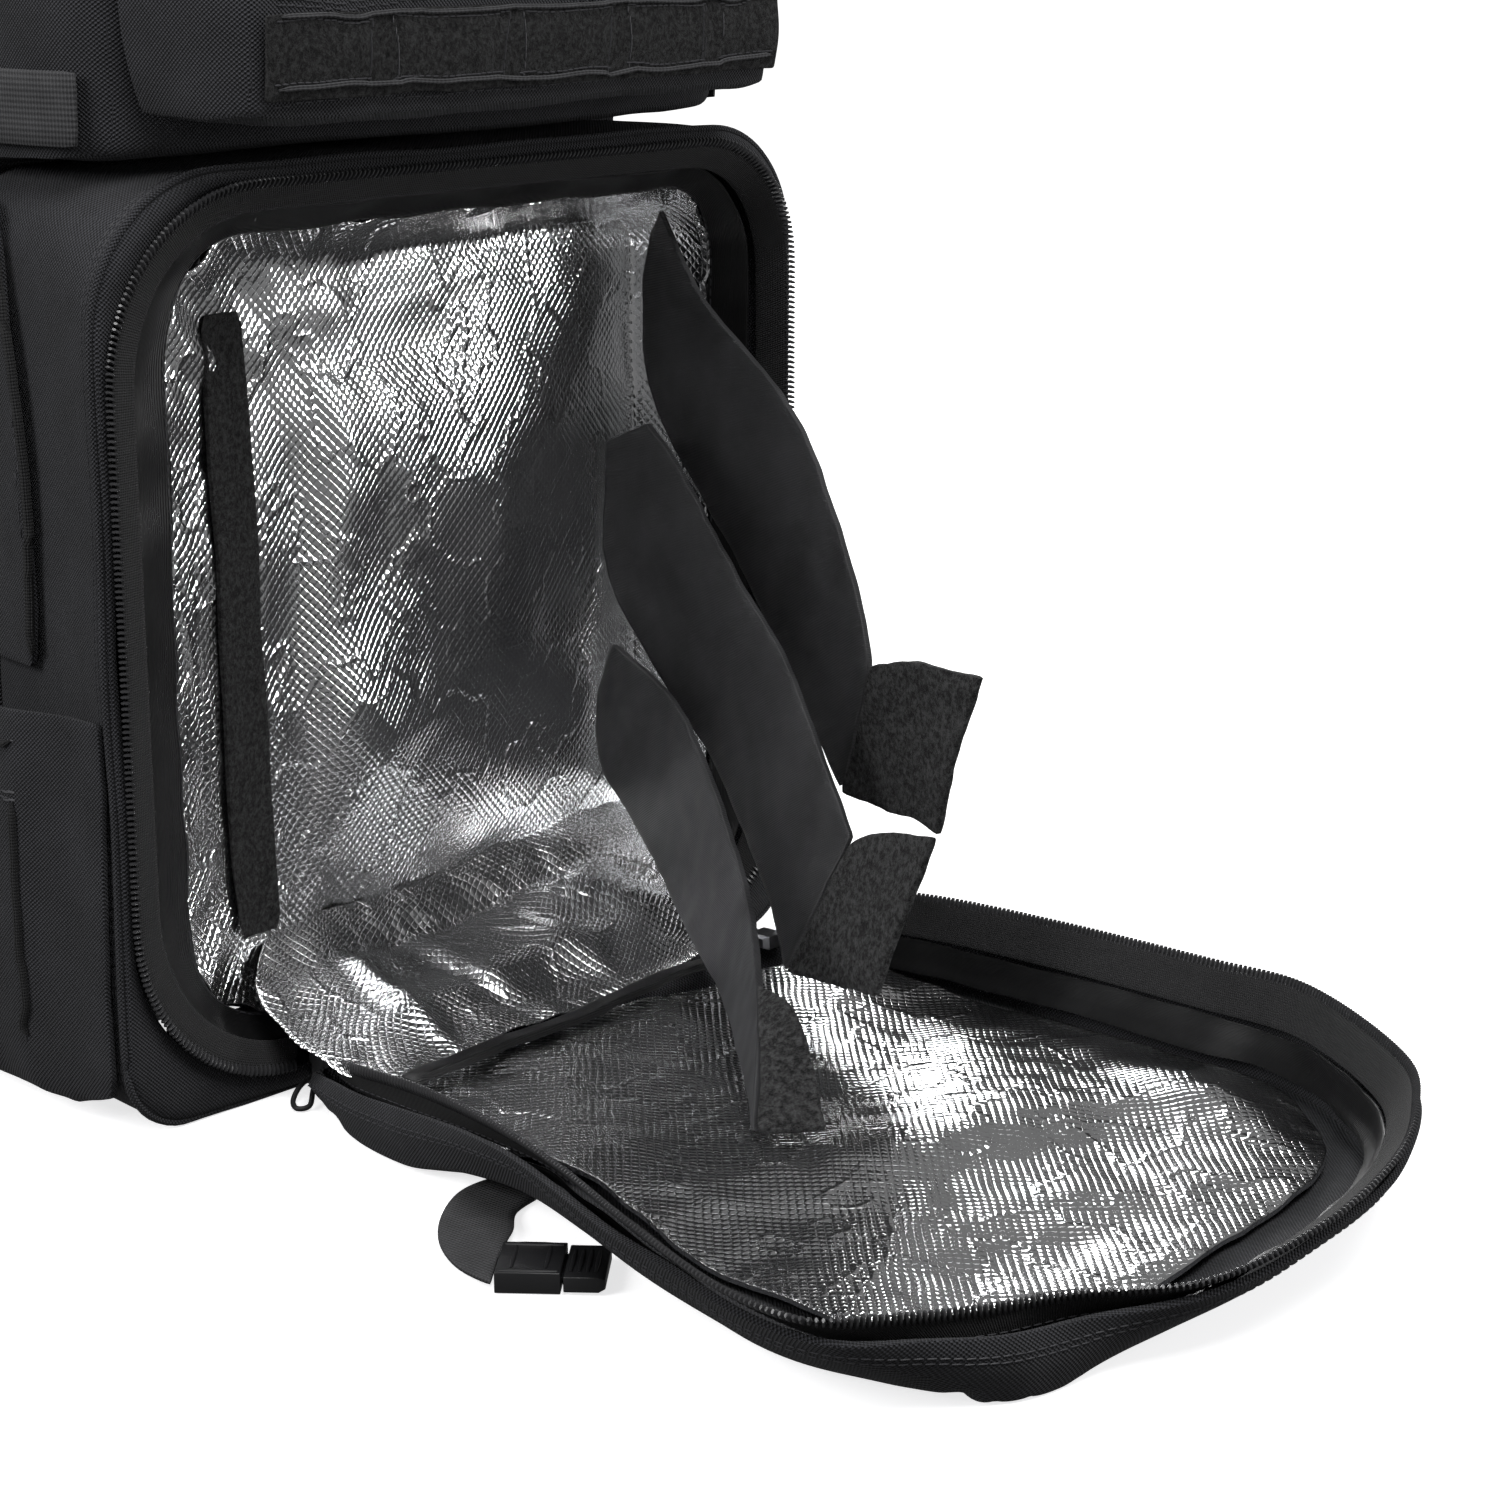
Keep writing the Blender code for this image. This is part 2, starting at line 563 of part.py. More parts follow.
def pocket_ring(z, grow=0.0):
    _, face, half, root = table(POCKET, z)
    ring = []
    outline = ((-root, None), (-half - 0.008, 0.42), (-half, 0.06), (-half + 0.006, 0.0), (-half * 0.5, -0.03),
               (0.0, -0.04), (half * 0.5, -0.03), (half - 0.006, 0.0), (half, 0.06), (half + 0.008, 0.42), (root, None),
               (root * 0.93, None), (root * 0.8, None), (root * 0.4, None), (-root * 0.4, None), (-root * 0.8, None),
               (-root * 0.93, None))
    for x, share in outline:
        back = front_y(x, z) - (0.0040 if abs(x) == root else 0.0016)
        ring.append((x + POCKET_MIDDLE * (share is not None), back if share is None else lerp(face, back, share) - grow, z))
    return ring


def pocket_face(x, z):
    """Depth of the pocket's front face."""
    ring = pocket_ring(z)[2:9]
    for a, b in zip(ring, ring[1:]):
        if x <= b[0]:
            return lerp(a[1], b[1], max(0.0, (x - a[0]) / (b[0] - a[0])))
    return ring[-1][1]


sheet("front_pocket", [pocket_ring(row[0]) for row in POCKET], -CLOTH, cloth, wrap=True, close_first=True)
panel_x = [-0.1165, -0.0950, -0.0590, -0.0210, 0.0170, 0.0550, 0.0890, 0.1080]
panel_rows = [[(x, pocket_face(x, z) - lift, z) for x in panel_x]
              for z, lift in ((0.3265, 0.0014), (0.3390, 0.0018), (0.3515, 0.0014))]
sheet("loop_panel", panel_rows, 0.0014, tape)
# Flap: depth, height and half width, from the body over the pocket's mouth to its lower edge
FLAP = (
    (None, 0.4465, 0.1180),
    (-0.0060, 0.4435, 0.1180),
    (-0.0215, 0.4400, 0.1150),
    (-0.0268, 0.4320, 0.1140),
    (-0.0305, 0.4200, 0.1140),
)
flap_rows = [[(half * t + POCKET_MIDDLE, front_y(half * t, z) - 0.0008 if depth is None else
               lerp(depth, front_y(0, z), max(0.0, abs(t) - 0.93) * 2.2) - 0.0012, z)
              for t in (-1, -0.93, -0.5, 0, 0.5, 0.93, 1)] for depth, z, half in FLAP]
sheet("front_pocket_flap", flap_rows, -0.0020, cloth)

# Outer face of the sides below the ledge: depth, half width on the left, half width on the right
SIDES = (
    (0.0000, 0.1562, 0.1587),
    (0.0350, 0.1502, 0.1517),
    (0.0730, 0.1468, 0.1468),
    (0.0950, 0.1454, 0.1454),
    (0.2050, 0.1454, 0.1454),
)
# Flat zipped side pocket: height, front depth, back depth
SIDE_POCKET = (
    (0.1500, 0.0440, 0.1600),
    (0.1540, 0.0410, 0.1650),
    (0.2050, 0.0410, 0.1650),
    (0.2500, 0.0460, 0.1650),
    (0.2900, 0.0540, 0.1630),
    (0.2960, 0.0600, 0.1580),
)
# Open bottle pocket: height, share of its full bulge
BOTTLE_POCKET = (
    (0.0060, 0.00),
    (0.0085, 0.45),
    (0.0200, 0.85),
    (0.0600, 1.00),
    (0.1050, 0.95),
    (0.1380, 0.85),
)
for name, side in (("left", -1), ("right", 1)):
    band = []
    for z in (0.3114, 0.3225, 0.3340):
        ring = body_ring(z, 0.0006)
        band.append([(abs(ring[j][0]) * side, ring[j][1], z) for j in (24, 25, 26, 27, 0, 1)])
    sheet("side_webbing_" + name, band, 0.0014 * -side, tape)
    panel = []
    for z, front, back in SIDE_POCKET:
        row = []
        for k in range(7):
            y = lerp(front, back, k / 6)
            swell = 0.0025 * math.sin(math.pi * k / 6) * (0.1502 < z < 0.2955)
            row.append((side * (table(SIDES, y)[1 if side < 0 else 2] + 0.0034 + swell), y, z))
        panel.append(row)
    sheet("side_pocket_" + name, panel, 0.0030 * -side, cloth)
    pouch = []
    for z, share in BOTTLE_POCKET:
        row = []
        for k in range(9):
            t = k / 8
            y = lerp(0.0060, 0.1640, t)
            bulge = 0.0034 + 0.0210 * share * math.sin(math.pi * t) ** 1.2
            row.append((side * (table(SIDES, y)[1 if side < 0 else 2] + bulge), y, z))
        pouch.append(row)
    sheet("bottle_pocket_" + name, pouch, 0.0025 * -side, cloth)

# Back panel's foam pad with an air channel down its middle: height, half width, share of its thickness
PAD = (
    (0.0300, 0.0900, 0.25),
    (0.0360, 0.1000, 0.80),
    (0.0600, 0.1050, 1.00),
    (0.1000, 0.1050, 1.00),
    (0.2980, 0.1050, 1.00),
    (0.3500, 0.1050, 1.00),
    (0.4050, 0.1050, 1.00),
    (0.4300, 0.0980, 0.80),
    (0.4360, 0.0880, 0.25),
)
pad_rows = []
for z, half, share in PAD:
    back = table(BODY, z)[3] + 0.0010
    outline = ((-1, 0), (-1, 0.5), (-0.92, 0.9), (-0.6, 1), (-0.2, 0.9), (0, 0.45), (0.2, 0.9), (0.6, 1), (0.92, 0.9),
               (1, 0.5), (1, 0))
    pad_rows.append([(half * a, back + 0.018 * share * b, z) for a, b in outline])
solid("back_pad", pad_rows, cloth)

# Shoulder straps: foam pads, then webbing through a ladder lock to the base's back corner
STRAP = (
    (0.048, 0.2048, 0.4520),
    (0.048, 0.2220, 0.4530),
    (0.052, 0.2350, 0.4440),
    (0.060, 0.2410, 0.4200),
    (0.070, 0.2420, 0.3700),
    (0.085, 0.2400, 0.3000),
    (0.098, 0.2370, 0.2200),
    (0.102, 0.2350, 0.1700),
)
STRAP_WEBBING = (
    (0.103, 0.2350, 0.1687),
    (0.108, 0.2330, 0.1300),
    (0.120, 0.2230, 0.0850),
    (0.127, 0.2068, 0.0450),
)
for name, side in (("left", -1), ("right", 1)):
    path = [(x * side, y, z) for x, y, z in STRAP]
    pad = [(-0.0325, -0.003), (-0.029, -0.006), (0.029, -0.006), (0.0325, -0.003), (0.0325, 0.003), (0.029, 0.006),
           (-0.029, 0.006), (-0.0325, 0.003)]
    sweep("shoulder_strap_" + name, smooth(path, 2), pad,
          lambda p: (0, min(1.0, (p[1] - 0.2080) / 0.030), max(0.0, (p[2] - 0.4200) / 0.030)), cloth)
    path = [(x * side, y, z) for x, y, z in STRAP_WEBBING]
    sweep("strap_webbing_" + name, path, bar(0.0125, 0.0008), (0, 1, 0.3), tape)
    x, y, z = 0.1045 * side, 0.2343, 0.1560
    frame = [(x + a, y + b, z) for a, b in ((-0.0170, -0.0042), (0.0170, -0.0042), (0.0170, 0.0042), (-0.0170, 0.0042))]
    sweep("ladder_lock_" + name, frame, bar(0.0020, 0.0080), (0, 0, 1), plastic, wrap=True)

# Grab handle: a webbing arch sewn on the top
arch = [(-0.0660, 0.146, 0.5212), (-0.0540, 0.146, 0.5212), (-0.0460, 0.146, 0.5260), (-0.0340, 0.146, 0.5400),
        (0.0000, 0.146, 0.5480), (0.0340, 0.146, 0.5400), (0.0460, 0.146, 0.5260), (0.0540, 0.146, 0.5212),
        (0.0660, 0.146, 0.5212)]
sweep("grab_handle", arch, bar(0.0110, 0.0014), lambda p: (p[0], 0, p[2] - 0.35), tape)

# Closed main zip's slider and pull, on the left side
sweep("main_zip_slider", [(-0.1473, y, 0.4578) for y in (0.0900, 0.0920, 0.0990, 0.1010)],
      [(-0.0014, -0.0040), (0.0010, -0.0040), (0.0016, 0.0), (0.0010, 0.0040), (-0.0014, 0.0040)], (0, 0, 1), steel)
sweep("main_zip_pull", [(-0.1477, 0.0950, z) for z in (0.4525, 0.4300)], bar(0.0030, 0.0006), (1, 0, 0), steel)

# Cool box zip's two sliders with their tabs and cord loops
SLIDERS = {
    "near": (-0.0868, -0.0755, -0.0075, 0.0120),
    "far": (0.0885, 0.0998, -0.0460, 0.0178),
}
for name, (left, right, y, z) in SLIDERS.items():
    stations = ((left, 0.7), (left + 0.002, 1.0), (right - 0.002, 1.0), (right, 0.7))
    solid("zip_slider_" + name, [[(x, y + a * k, z + b * k) for a, b in bar(0.0046, 0.0024)] for x, k in stations],
          steel)
sweep("zip_pull_near", [(-0.0876, -0.0092, z) for z in (0.0150, 0.0074)], bar(0.0024, 0.0004), (1, 0, 0), steel)
sweep("zip_pull_far", [(0.0940, -0.0408, 0.0185), (0.0942, -0.0345, 0.0215)], bar(0.0024, 0.0004), (0, -0.3, 1), steel)


def cord(name, path, radius):
    """A free cord: a round tube through its path, its ends closed."""
    curve = bpy.data.curves.new(name, "CURVE")
    curve.dimensions = "3D"
    curve.bevel_depth = radius
    curve.bevel_resolution = 2
    curve.use_fill_caps = True
    spline = curve.splines.new("POLY")
    spline.points.add(len(path) - 1)
    for point, place in zip(spline.points, path):
        point.co = (place[0], place[1] - BASE_MIDDLE, place[2], 1.0)
    result = bpy.data.objects.new(name, curve)
    bpy.context.scene.collection.objects.link(result)
    curve.materials.append(material(name, BLACK_TAPE, 0.9))


cord("pull_cord_near", smooth([(-0.0893, -0.0080, 0.0070), (-0.0950, -0.0085, 0.0050), (-0.1000, -0.0110, 0.0022),
                               (-0.1025, -0.0160, 0.0016), (-0.0985, -0.0175, 0.0018), (-0.0935, -0.0135, 0.0045),
                               (-0.0893, -0.0108, 0.0072)], 3), 0.0009)
cord("pull_cord_far", smooth([(0.0926, -0.0336, 0.0220), (0.0918, -0.0290, 0.0260), (0.0928, -0.0265, 0.0320),
                              (0.0955, -0.0265, 0.0325), (0.0968, -0.0290, 0.0270), (0.0958, -0.0336, 0.0220)], 3),
     0.0009)

# Strap on the floor from under the lid, its end in a fastened side-release buckle
LID_STRAP = (
    (-0.1000, -0.1050, 0.0016, -0.1000, -0.1260, 0.0016),
    (-0.1160, -0.1055, 0.0018, -0.1130, -0.1290, 0.0018),
    (-0.1420, -0.1250, 0.0032, -0.1240, -0.1400, 0.0032),
    (-0.1560, -0.1480, 0.0040, -0.1350, -0.1470, 0.0040),
    (-0.1574, -0.1646, 0.0042, -0.1404, -0.1507, 0.0042),
)
sheet("lid_strap", ruled(LID_STRAP, 2, 2), 0.0014, tape)
START = Vector((-0.1485, -0.1580, 0.0036))
ALONG = Vector((0.632, -0.775, 0.0))
ACROSS = Vector((0.775, 0.632, 0.0))
frame = [START + ALONG * 0.0100 + ACROSS * a + Vector((0, 0, b))
         for a, b in ((-0.0108, -0.0024), (0.0108, -0.0024), (0.0108, 0.0024), (-0.0108, 0.0024))]
sweep("buckle_body", frame, bar(0.0009, 0.0095), ALONG, plastic, wrap=True)
latch = ((0.0060, 0.0060, 0.0006), (0.0120, 0.0085, 0.0008), (0.0200, 0.0085, 0.0008), (0.0200, 0.0115, 0.0024),
         (0.0300, 0.0115, 0.0024), (0.0320, 0.0105, 0.0016))
solid("buckle_latch", [[START + ALONG * (s + (0.0004 if half > 0.010 else 0.0)) + ACROSS * a + Vector((0, 0, b))
                        for a, b in bar(half, thick)] for s, half, thick in latch], plastic)
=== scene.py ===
"""Looks of an open gym backpack: woven nylon, embossed foil, zips, loop tape and webbing."""
import math

import bmesh
import bpy
import numpy as np
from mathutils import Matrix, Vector, noise
from mathutils.bvhtree import BVHTree


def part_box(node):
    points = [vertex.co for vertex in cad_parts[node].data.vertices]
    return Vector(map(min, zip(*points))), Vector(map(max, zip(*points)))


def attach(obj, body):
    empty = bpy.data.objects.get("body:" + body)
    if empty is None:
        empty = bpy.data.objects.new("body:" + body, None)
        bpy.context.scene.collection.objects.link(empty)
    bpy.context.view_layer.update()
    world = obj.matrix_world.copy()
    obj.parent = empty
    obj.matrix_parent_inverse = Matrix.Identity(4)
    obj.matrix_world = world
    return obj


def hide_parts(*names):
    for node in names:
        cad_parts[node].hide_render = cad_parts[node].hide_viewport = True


# Blender's noise starts from the clock unless it is given a seed: with one, the folds come out the same
# in every run.
noise.seed_set(11)

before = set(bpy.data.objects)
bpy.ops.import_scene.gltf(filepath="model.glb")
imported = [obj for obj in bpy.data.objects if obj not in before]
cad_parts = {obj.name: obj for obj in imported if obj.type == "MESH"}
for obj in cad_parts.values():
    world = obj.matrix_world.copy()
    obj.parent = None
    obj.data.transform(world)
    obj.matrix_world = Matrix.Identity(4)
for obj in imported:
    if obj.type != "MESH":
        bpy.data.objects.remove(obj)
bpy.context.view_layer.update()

# The camera stands low at the front left and looks along the open lid. It is solved from the
# straight edges of the box and the lid.
camera = bpy.data.cameras.new("camera")
camera.lens, camera.sensor_width = 78.83, 36.0
viewpoint = bpy.data.objects.new("camera", camera)
bpy.context.scene.collection.objects.link(viewpoint)
viewpoint.location = (-0.750, -0.9372, 0.3964)
viewpoint.rotation_euler = (math.radians(90 - 15.24), 0, math.radians(-48.03))
bpy.context.scene.camera = viewpoint

# Studio: a pale seamless floor that glows with painted light, whiter away from the bag, and four soft
# boxes: one large overhead, one at each side of the front, and one behind whose light the lid's foil
# mirrors.


class Value:
    """A shader socket that takes part in ordinary arithmetic."""

    def __init__(self, look, socket):
        self.look, self.socket = look, socket

    def join(self, operation, *others, swap=False):
        terms = [self, *others][::-1] if swap else [self, *others]
        node = self.look.node("ShaderNodeMath", {"operation": operation}, dict(enumerate(terms)))
        return Value(self.look, node.outputs[0])

    def __add__(self, other): return self.join("ADD", other)
    def __radd__(self, other): return self.join("ADD", other)
    def __sub__(self, other): return self.join("SUBTRACT", other)
    def __rsub__(self, other): return self.join("SUBTRACT", other, swap=True)
    def __mul__(self, other): return self.join("MULTIPLY", other)
    def __rmul__(self, other): return self.join("MULTIPLY", other)
    def __truediv__(self, other): return self.join("DIVIDE", other)
    def __abs__(self): return self.join("ABSOLUTE")
    def sin(self): return self.join("SINE")
    def max(self, other): return self.join("MAXIMUM", other)
    def power(self, other): return self.join("POWER", other)


class Look:
    """One procedural material on the principled shader."""

    def __init__(self, name, roughness, metallic=0.0, sheen=0.0, specular=0.5):
        self.material = bpy.data.materials.new(name)
        self.material.use_nodes = True
        self.tree = self.material.node_tree
        self.shader = self.tree.nodes["Principled BSDF"]
        for socket, value in (("Roughness", roughness), ("Metallic", metallic), ("Sheen Weight", sheen),
                              ("Specular IOR Level", specular)):
            self.shader.inputs[socket].default_value = value

    def node(self, kind, settings, sockets):
        made = self.tree.nodes.new(kind)
        for key, value in settings.items():
            setattr(made, key, value)
        for key, value in sockets.items():
            if isinstance(value, Value):
                self.tree.links.new(value.socket, made.inputs[key])
            else:
                made.inputs[key].default_value = value
        return made

    def feed(self, socket, value):
        self.tree.links.new(value.socket, self.shader.inputs[socket])

    def flat(self):
        """Metres along and across the cloth, from the piece's own map."""
        split = self.node("ShaderNodeSeparateXYZ", {}, {
            0: Value(self, self.node("ShaderNodeUVMap", {"uv_map": "cloth"}, {}).outputs[0])})
        return Value(self, split.outputs[0]), Value(self, split.outputs[1])

    def place(self):
        """Metres in the bag's own frame."""
        return Value(self, self.node("ShaderNodeTexCoord", {}, {}).outputs["Object"])

    def noise(self, scale, detail=2.0, rough=0.5):
        made = self.node("ShaderNodeTexNoise", {}, {
            "Vector": self.place(), "Scale": scale, "Detail": detail, "Roughness": rough})
        return Value(self, made.outputs["Fac"])

    def bump(self, height, distance, strength=1.0):
        made = self.node("ShaderNodeBump", {},
                         {"Height": height, "Distance": distance, "Strength": strength})
        self.feed("Normal", Value(self, made.outputs[0]))

    def colours(self, value, stops):
        ramp = self.node("ShaderNodeValToRGB", {}, {0: value})
        while len(ramp.color_ramp.elements) < len(stops):
            ramp.color_ramp.elements.new(0.5)
        for element, (at, colour) in zip(ramp.color_ramp.elements, stops):
            element.position, element.color = at, (*colour, 1.0)
        self.feed("Base Color", Value(self, ramp.outputs[0]))


bpy.ops.mesh.primitive_plane_add(size=60)
floor = bpy.context.object
floor.name = "studio_floor"
floor.visible_glossy = False
floor.visible_diffuse = False
pale = Look("studio_white_glow", 0.9)
# Painted light: the floor glows, weaker near the bag and whiter far off, where the lamps give little.
pale.shader.inputs["Emission Strength"].default_value = 1.0
far_off = pale.node("ShaderNodeVectorMath", {"operation": "LENGTH"}, {0: pale.place()})
reach = Value(pale, far_off.outputs["Value"])
glow = pale.node("ShaderNodeValToRGB", {}, {0: reach * 0.4})
glow.color_ramp.elements[0].position, glow.color_ramp.elements[0].color = 0.15, (0.74, 0.74, 0.745, 1.0)
glow.color_ramp.elements[1].position, glow.color_ramp.elements[1].color = 0.80, (0.99, 0.99, 0.99, 1.0)
pale.feed("Emission Color", Value(pale, glow.outputs[0]))
pale.colours(pale.noise(3.0), ((0.0, (0.90, 0.90, 0.905)), (1.0, (0.92, 0.92, 0.92))))
floor.data.materials.append(pale.material)
bpy.context.scene.view_settings.view_transform = "Standard"
world = bpy.data.worlds.new("studio")
bpy.context.scene.world = world
world.use_nodes = True
world.node_tree.nodes["Background"].inputs["Color"].default_value = (1.0, 1.0, 1.0, 1.0)
world.node_tree.nodes["Background"].inputs["Strength"].default_value = 0.17
for place, aim, size, power in (
        ((-0.3, -0.9, 1.7), (0, -0.1, 0.1), 1.1, 26.0),
        ((-1.7, 0.2, 1.1), (0, 0, 0.2), 0.8, 20.0),
        ((1.3, -1.3, 0.45), (0, -0.1, 0.15), 0.45, 9.0),
        ((1.6, 1.45, 0.95), (0, -0.3, 0.0), 0.8, 26.0)):
    light = bpy.data.lights.new("soft_box", "AREA")
    light.shape, light.size, light.energy = "SQUARE", size, power
    lamp = bpy.data.objects.new("soft_box", light)
    bpy.context.scene.collection.objects.link(lamp)
    lamp.location = place
    lamp.rotation_euler = (Vector(aim) - Vector(place)).to_track_quat("-Z", "Y").to_euler()

# Cool box: cloth frame. Its flared sides, the rim seam round the mouth and the narrow front frame
# are one woven shell, sewn back to the main body.
RINGS = {
    "back": (-0.1465, 0.1465, 0.0012, 0.3028, (0.020, 0.020, 0.020, 0.020), (0.0728,) * 4),
    "waist": (-0.1500, 0.1515, 0.0010, 0.3030, (0.020, 0.020, 0.025, 0.030), (0.0350,) * 4),
    "edge": (-0.1560, 0.1585, 0.0010, 0.3030, (0.024, 0.024, 0.040, 0.050), (0.0014,) * 4),
    "frame": (-0.1515, 0.1540, 0.0082, 0.2985, (0.062, 0.055, 0.046, 0.060), (0.0002,) * 4),
    "coil": (-0.1530, 0.1550, 0.0105, 0.2990, (0.062, 0.055, 0.045, 0.060), (-0.0028,) * 4),
    "tape": (-0.1400, 0.1500, 0.0175, 0.2900, (0.055, 0.050, 0.042, 0.052),
             (0.0030, 0.0095, 0.0045, 0.0030)),
    "facing": (-0.1405, 0.1480, 0.0175, 0.2895, (0.054, 0.048, 0.041, 0.051),
               (0.0045, 0.0112, 0.0060, 0.0045)),
    "seam": (-0.1180, 0.1430, 0.0240, 0.2810, (0.034, 0.030, 0.032, 0.038),
             (0.0145, 0.0270, 0.0180, 0.0150)),
}
TURN = 2 * math.pi
BASE = Vector((0, -0.140, 0))


def woven(name, pitch, dark, pale, roughness=0.78, sheen=0.06):
    """Plain weave: crossing yarns as a bump, with faint uneven dyeing."""
    look = Look(name, roughness, sheen=sheen, specular=0.30)
    u, v = look.flat()
    warp = (u * (TURN / pitch)).sin()
    weft = (v * (TURN / pitch)).sin()
    yarn = warp * weft
    look.bump(yarn * 0.6 + look.noise(700.0) * 0.35, 0.00060, 1.0)
    look.colours(yarn * 0.45 + look.noise(60.0, 4.0) * 0.4 + 0.25, ((0.20, dark), (0.80, pale)))
    return look.material


def unfold(piece):
    """Maps each face in metres along the two axes that it faces least."""
    mesh = piece.data
    layer = mesh.uv_layers.get("cloth") or mesh.uv_layers.new(name="cloth")
    for face in mesh.polygons:
        n = face.normal
        axis = max(range(3), key=lambda k: abs(n[k]))
        a, b = ((1, 2), (0, 2), (0, 1))[axis]
        for loop in face.loop_indices:
            co = mesh.vertices[mesh.loops[loop].vertex_index].co
            layer.data[loop].uv = (co[a], co[b])


def finish(piece, look, nodes, crease=40):
    for vertex in piece.data.vertices:
        vertex.co.z = max(vertex.co.z, 0.0003)
    piece.data.materials.clear()
    piece.data.materials.append(look)
    bpy.ops.object.select_all(action="DESELECT")
    bpy.context.view_layer.objects.active = piece
    piece.select_set(True)
    bpy.ops.object.shade_smooth_by_angle(angle=math.radians(crease))
    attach(piece, "root")
    if nodes:
        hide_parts(*nodes)
    return piece


def crumple(piece, amount, scale, seed=0.0):
    """Soft unevenness that moves both faces of the cloth together."""
    for vertex in piece.data.vertices:
        vertex.co += noise.noise_vector(vertex.co * scale + Vector((seed, seed * 2, -seed))) * amount


def apply_all(piece):
    """Applies every modifier in order."""
    bpy.ops.object.select_all(action="DESELECT")
    bpy.context.view_layer.objects.active = piece
    piece.select_set(True)
    for modifier in list(piece.modifiers):
        bpy.ops.object.modifier_apply(modifier=modifier.name)


def surface(name, rows, thickness, wrap=False, levels=1):
    """Cloth through rows of points, mapped in metres along and across, given its thickness."""
    count = len(rows[0])
    mesh = bpy.data.meshes.new(name)
    span = count if wrap else count - 1
    faces, where = [], []
    along = [[0.0] for _ in rows]
    for i, row in enumerate(rows):
        for j in range(span):
            along[i].append(along[i][-1] + (Vector(row[(j + 1) % count]) - Vector(row[j])).length)
    middle = along[len(rows) // 2]
    across = [0.0]
    for a, b in zip(rows, rows[1:]):
        across.append(across[-1] + (Vector(b[count // 3]) - Vector(a[count // 3])).length)
    for i in range(len(rows) - 1):
        for j in range(span):
            k = (j + 1) % count
            faces.append((i * count + j, i * count + k, (i + 1) * count + k, (i + 1) * count + j))
            where.append(((middle[j], across[i]), (middle[j + 1], across[i]),
                          (middle[j + 1], across[i + 1]),
                          (middle[j], across[i + 1])))
    mesh.from_pydata([tuple(p) for row in rows for p in row], [], faces)
    layer = mesh.uv_layers.new(name="cloth")
    for face, corners in zip(mesh.polygons, where):
        for loop, uv in zip(face.loop_indices, corners):
            layer.data[loop].uv = uv
    piece = bpy.data.objects.new(name, mesh)
    bpy.context.scene.collection.objects.link(piece)
    shell = piece.modifiers.new("thickness", "SOLIDIFY")
    shell.thickness, shell.offset = abs(thickness), 1.0 if thickness > 0 else -1.0
    if levels:
        step = piece.modifiers.new("finer", "SUBSURF")
        step.levels = step.render_levels = levels
    apply_all(piece)
    return piece


def moulded(name, colour, roughness, metallic=0.0):
    look = Look(name, roughness, metallic)
    grain = look.noise(1500.0, 2.0)
    look.bump(grain, 0.00012, 0.4)
    look.colours(look.noise(90.0), ((0.3, colour), (0.7, tuple(c * 1.25 for c in colour))))
    return look.material


def walk(path, step, closed=False):
    """Places every step along a path, with the direction there."""
    path = [Vector(p) for p in path]
    if closed:
        path.append(path[0])
    result, carry = [], 0.0
    for a, b in zip(path, path[1:]):
        length = (b - a).length
        while carry < length:
            result.append((a.lerp(b, carry / length), (b - a).normalized()))
            carry += step
        carry -= length
    return result


def beads(name, places, half, sides=8, rings=3):
    """Small rounded pellets: each place gives centre, run, side and up; half gives half sizes."""
    points, faces = [], []
    for centre, run, side, up in places:
        base = len(points)
        for i in range(rings):
            s = -1 + 2 * i / (rings - 1)
            k = 1.0 if rings > 2 and 0 < i < rings - 1 else 0.62
            for j in range(sides):
                angle = TURN * j / sides
                points.append(centre + side * (half[1] * s) + run * (half[0] * k * math.cos(angle))
                              + up * (half[2] * k * math.sin(angle)))
        for i in range(rings - 1):
            for j in range(sides):
                k = (j + 1) % sides
                faces.append((base + i * sides + j, base + i * sides + k, base + (i + 1) * sides + k,
                              base + (i + 1) * sides + j))
        faces.append(tuple(base + j for j in reversed(range(sides))))
        faces.append(tuple(base + (rings - 1) * sides + j for j in range(sides)))
    mesh = bpy.data.meshes.new(name)
    mesh.from_pydata([tuple(p) for p in points], [], faces)
    piece = bpy.data.objects.new(name, mesh)
    bpy.context.scene.collection.objects.link(piece)
    return piece


def skin(cloth):
    """A piece's faces, to find the nearest place on them."""
    points = [v.co for v in cloth.data.vertices]
    return BVHTree.FromPolygons(points, [f.vertices for f in cloth.data.polygons])


def stitches(name, cloth, paths, length=0.0026, gap=0.0011):
    """Rows of thread laid on a finished piece of cloth."""
    tree = skin(cloth)
    places = []
    for path in paths:
        for point, run in walk(path, length + gap):
            spot, up, _, _ = tree.find_nearest(point)
            if spot is None:
                continue
            run = (run - up * run.dot(up)).normalized()
            places.append((spot + up * 0.00010, up.cross(run), run, up))
    piece = beads(name, places, (0.00032, length / 2, 0.00030), sides=5)
    return finish(piece, thread, ())


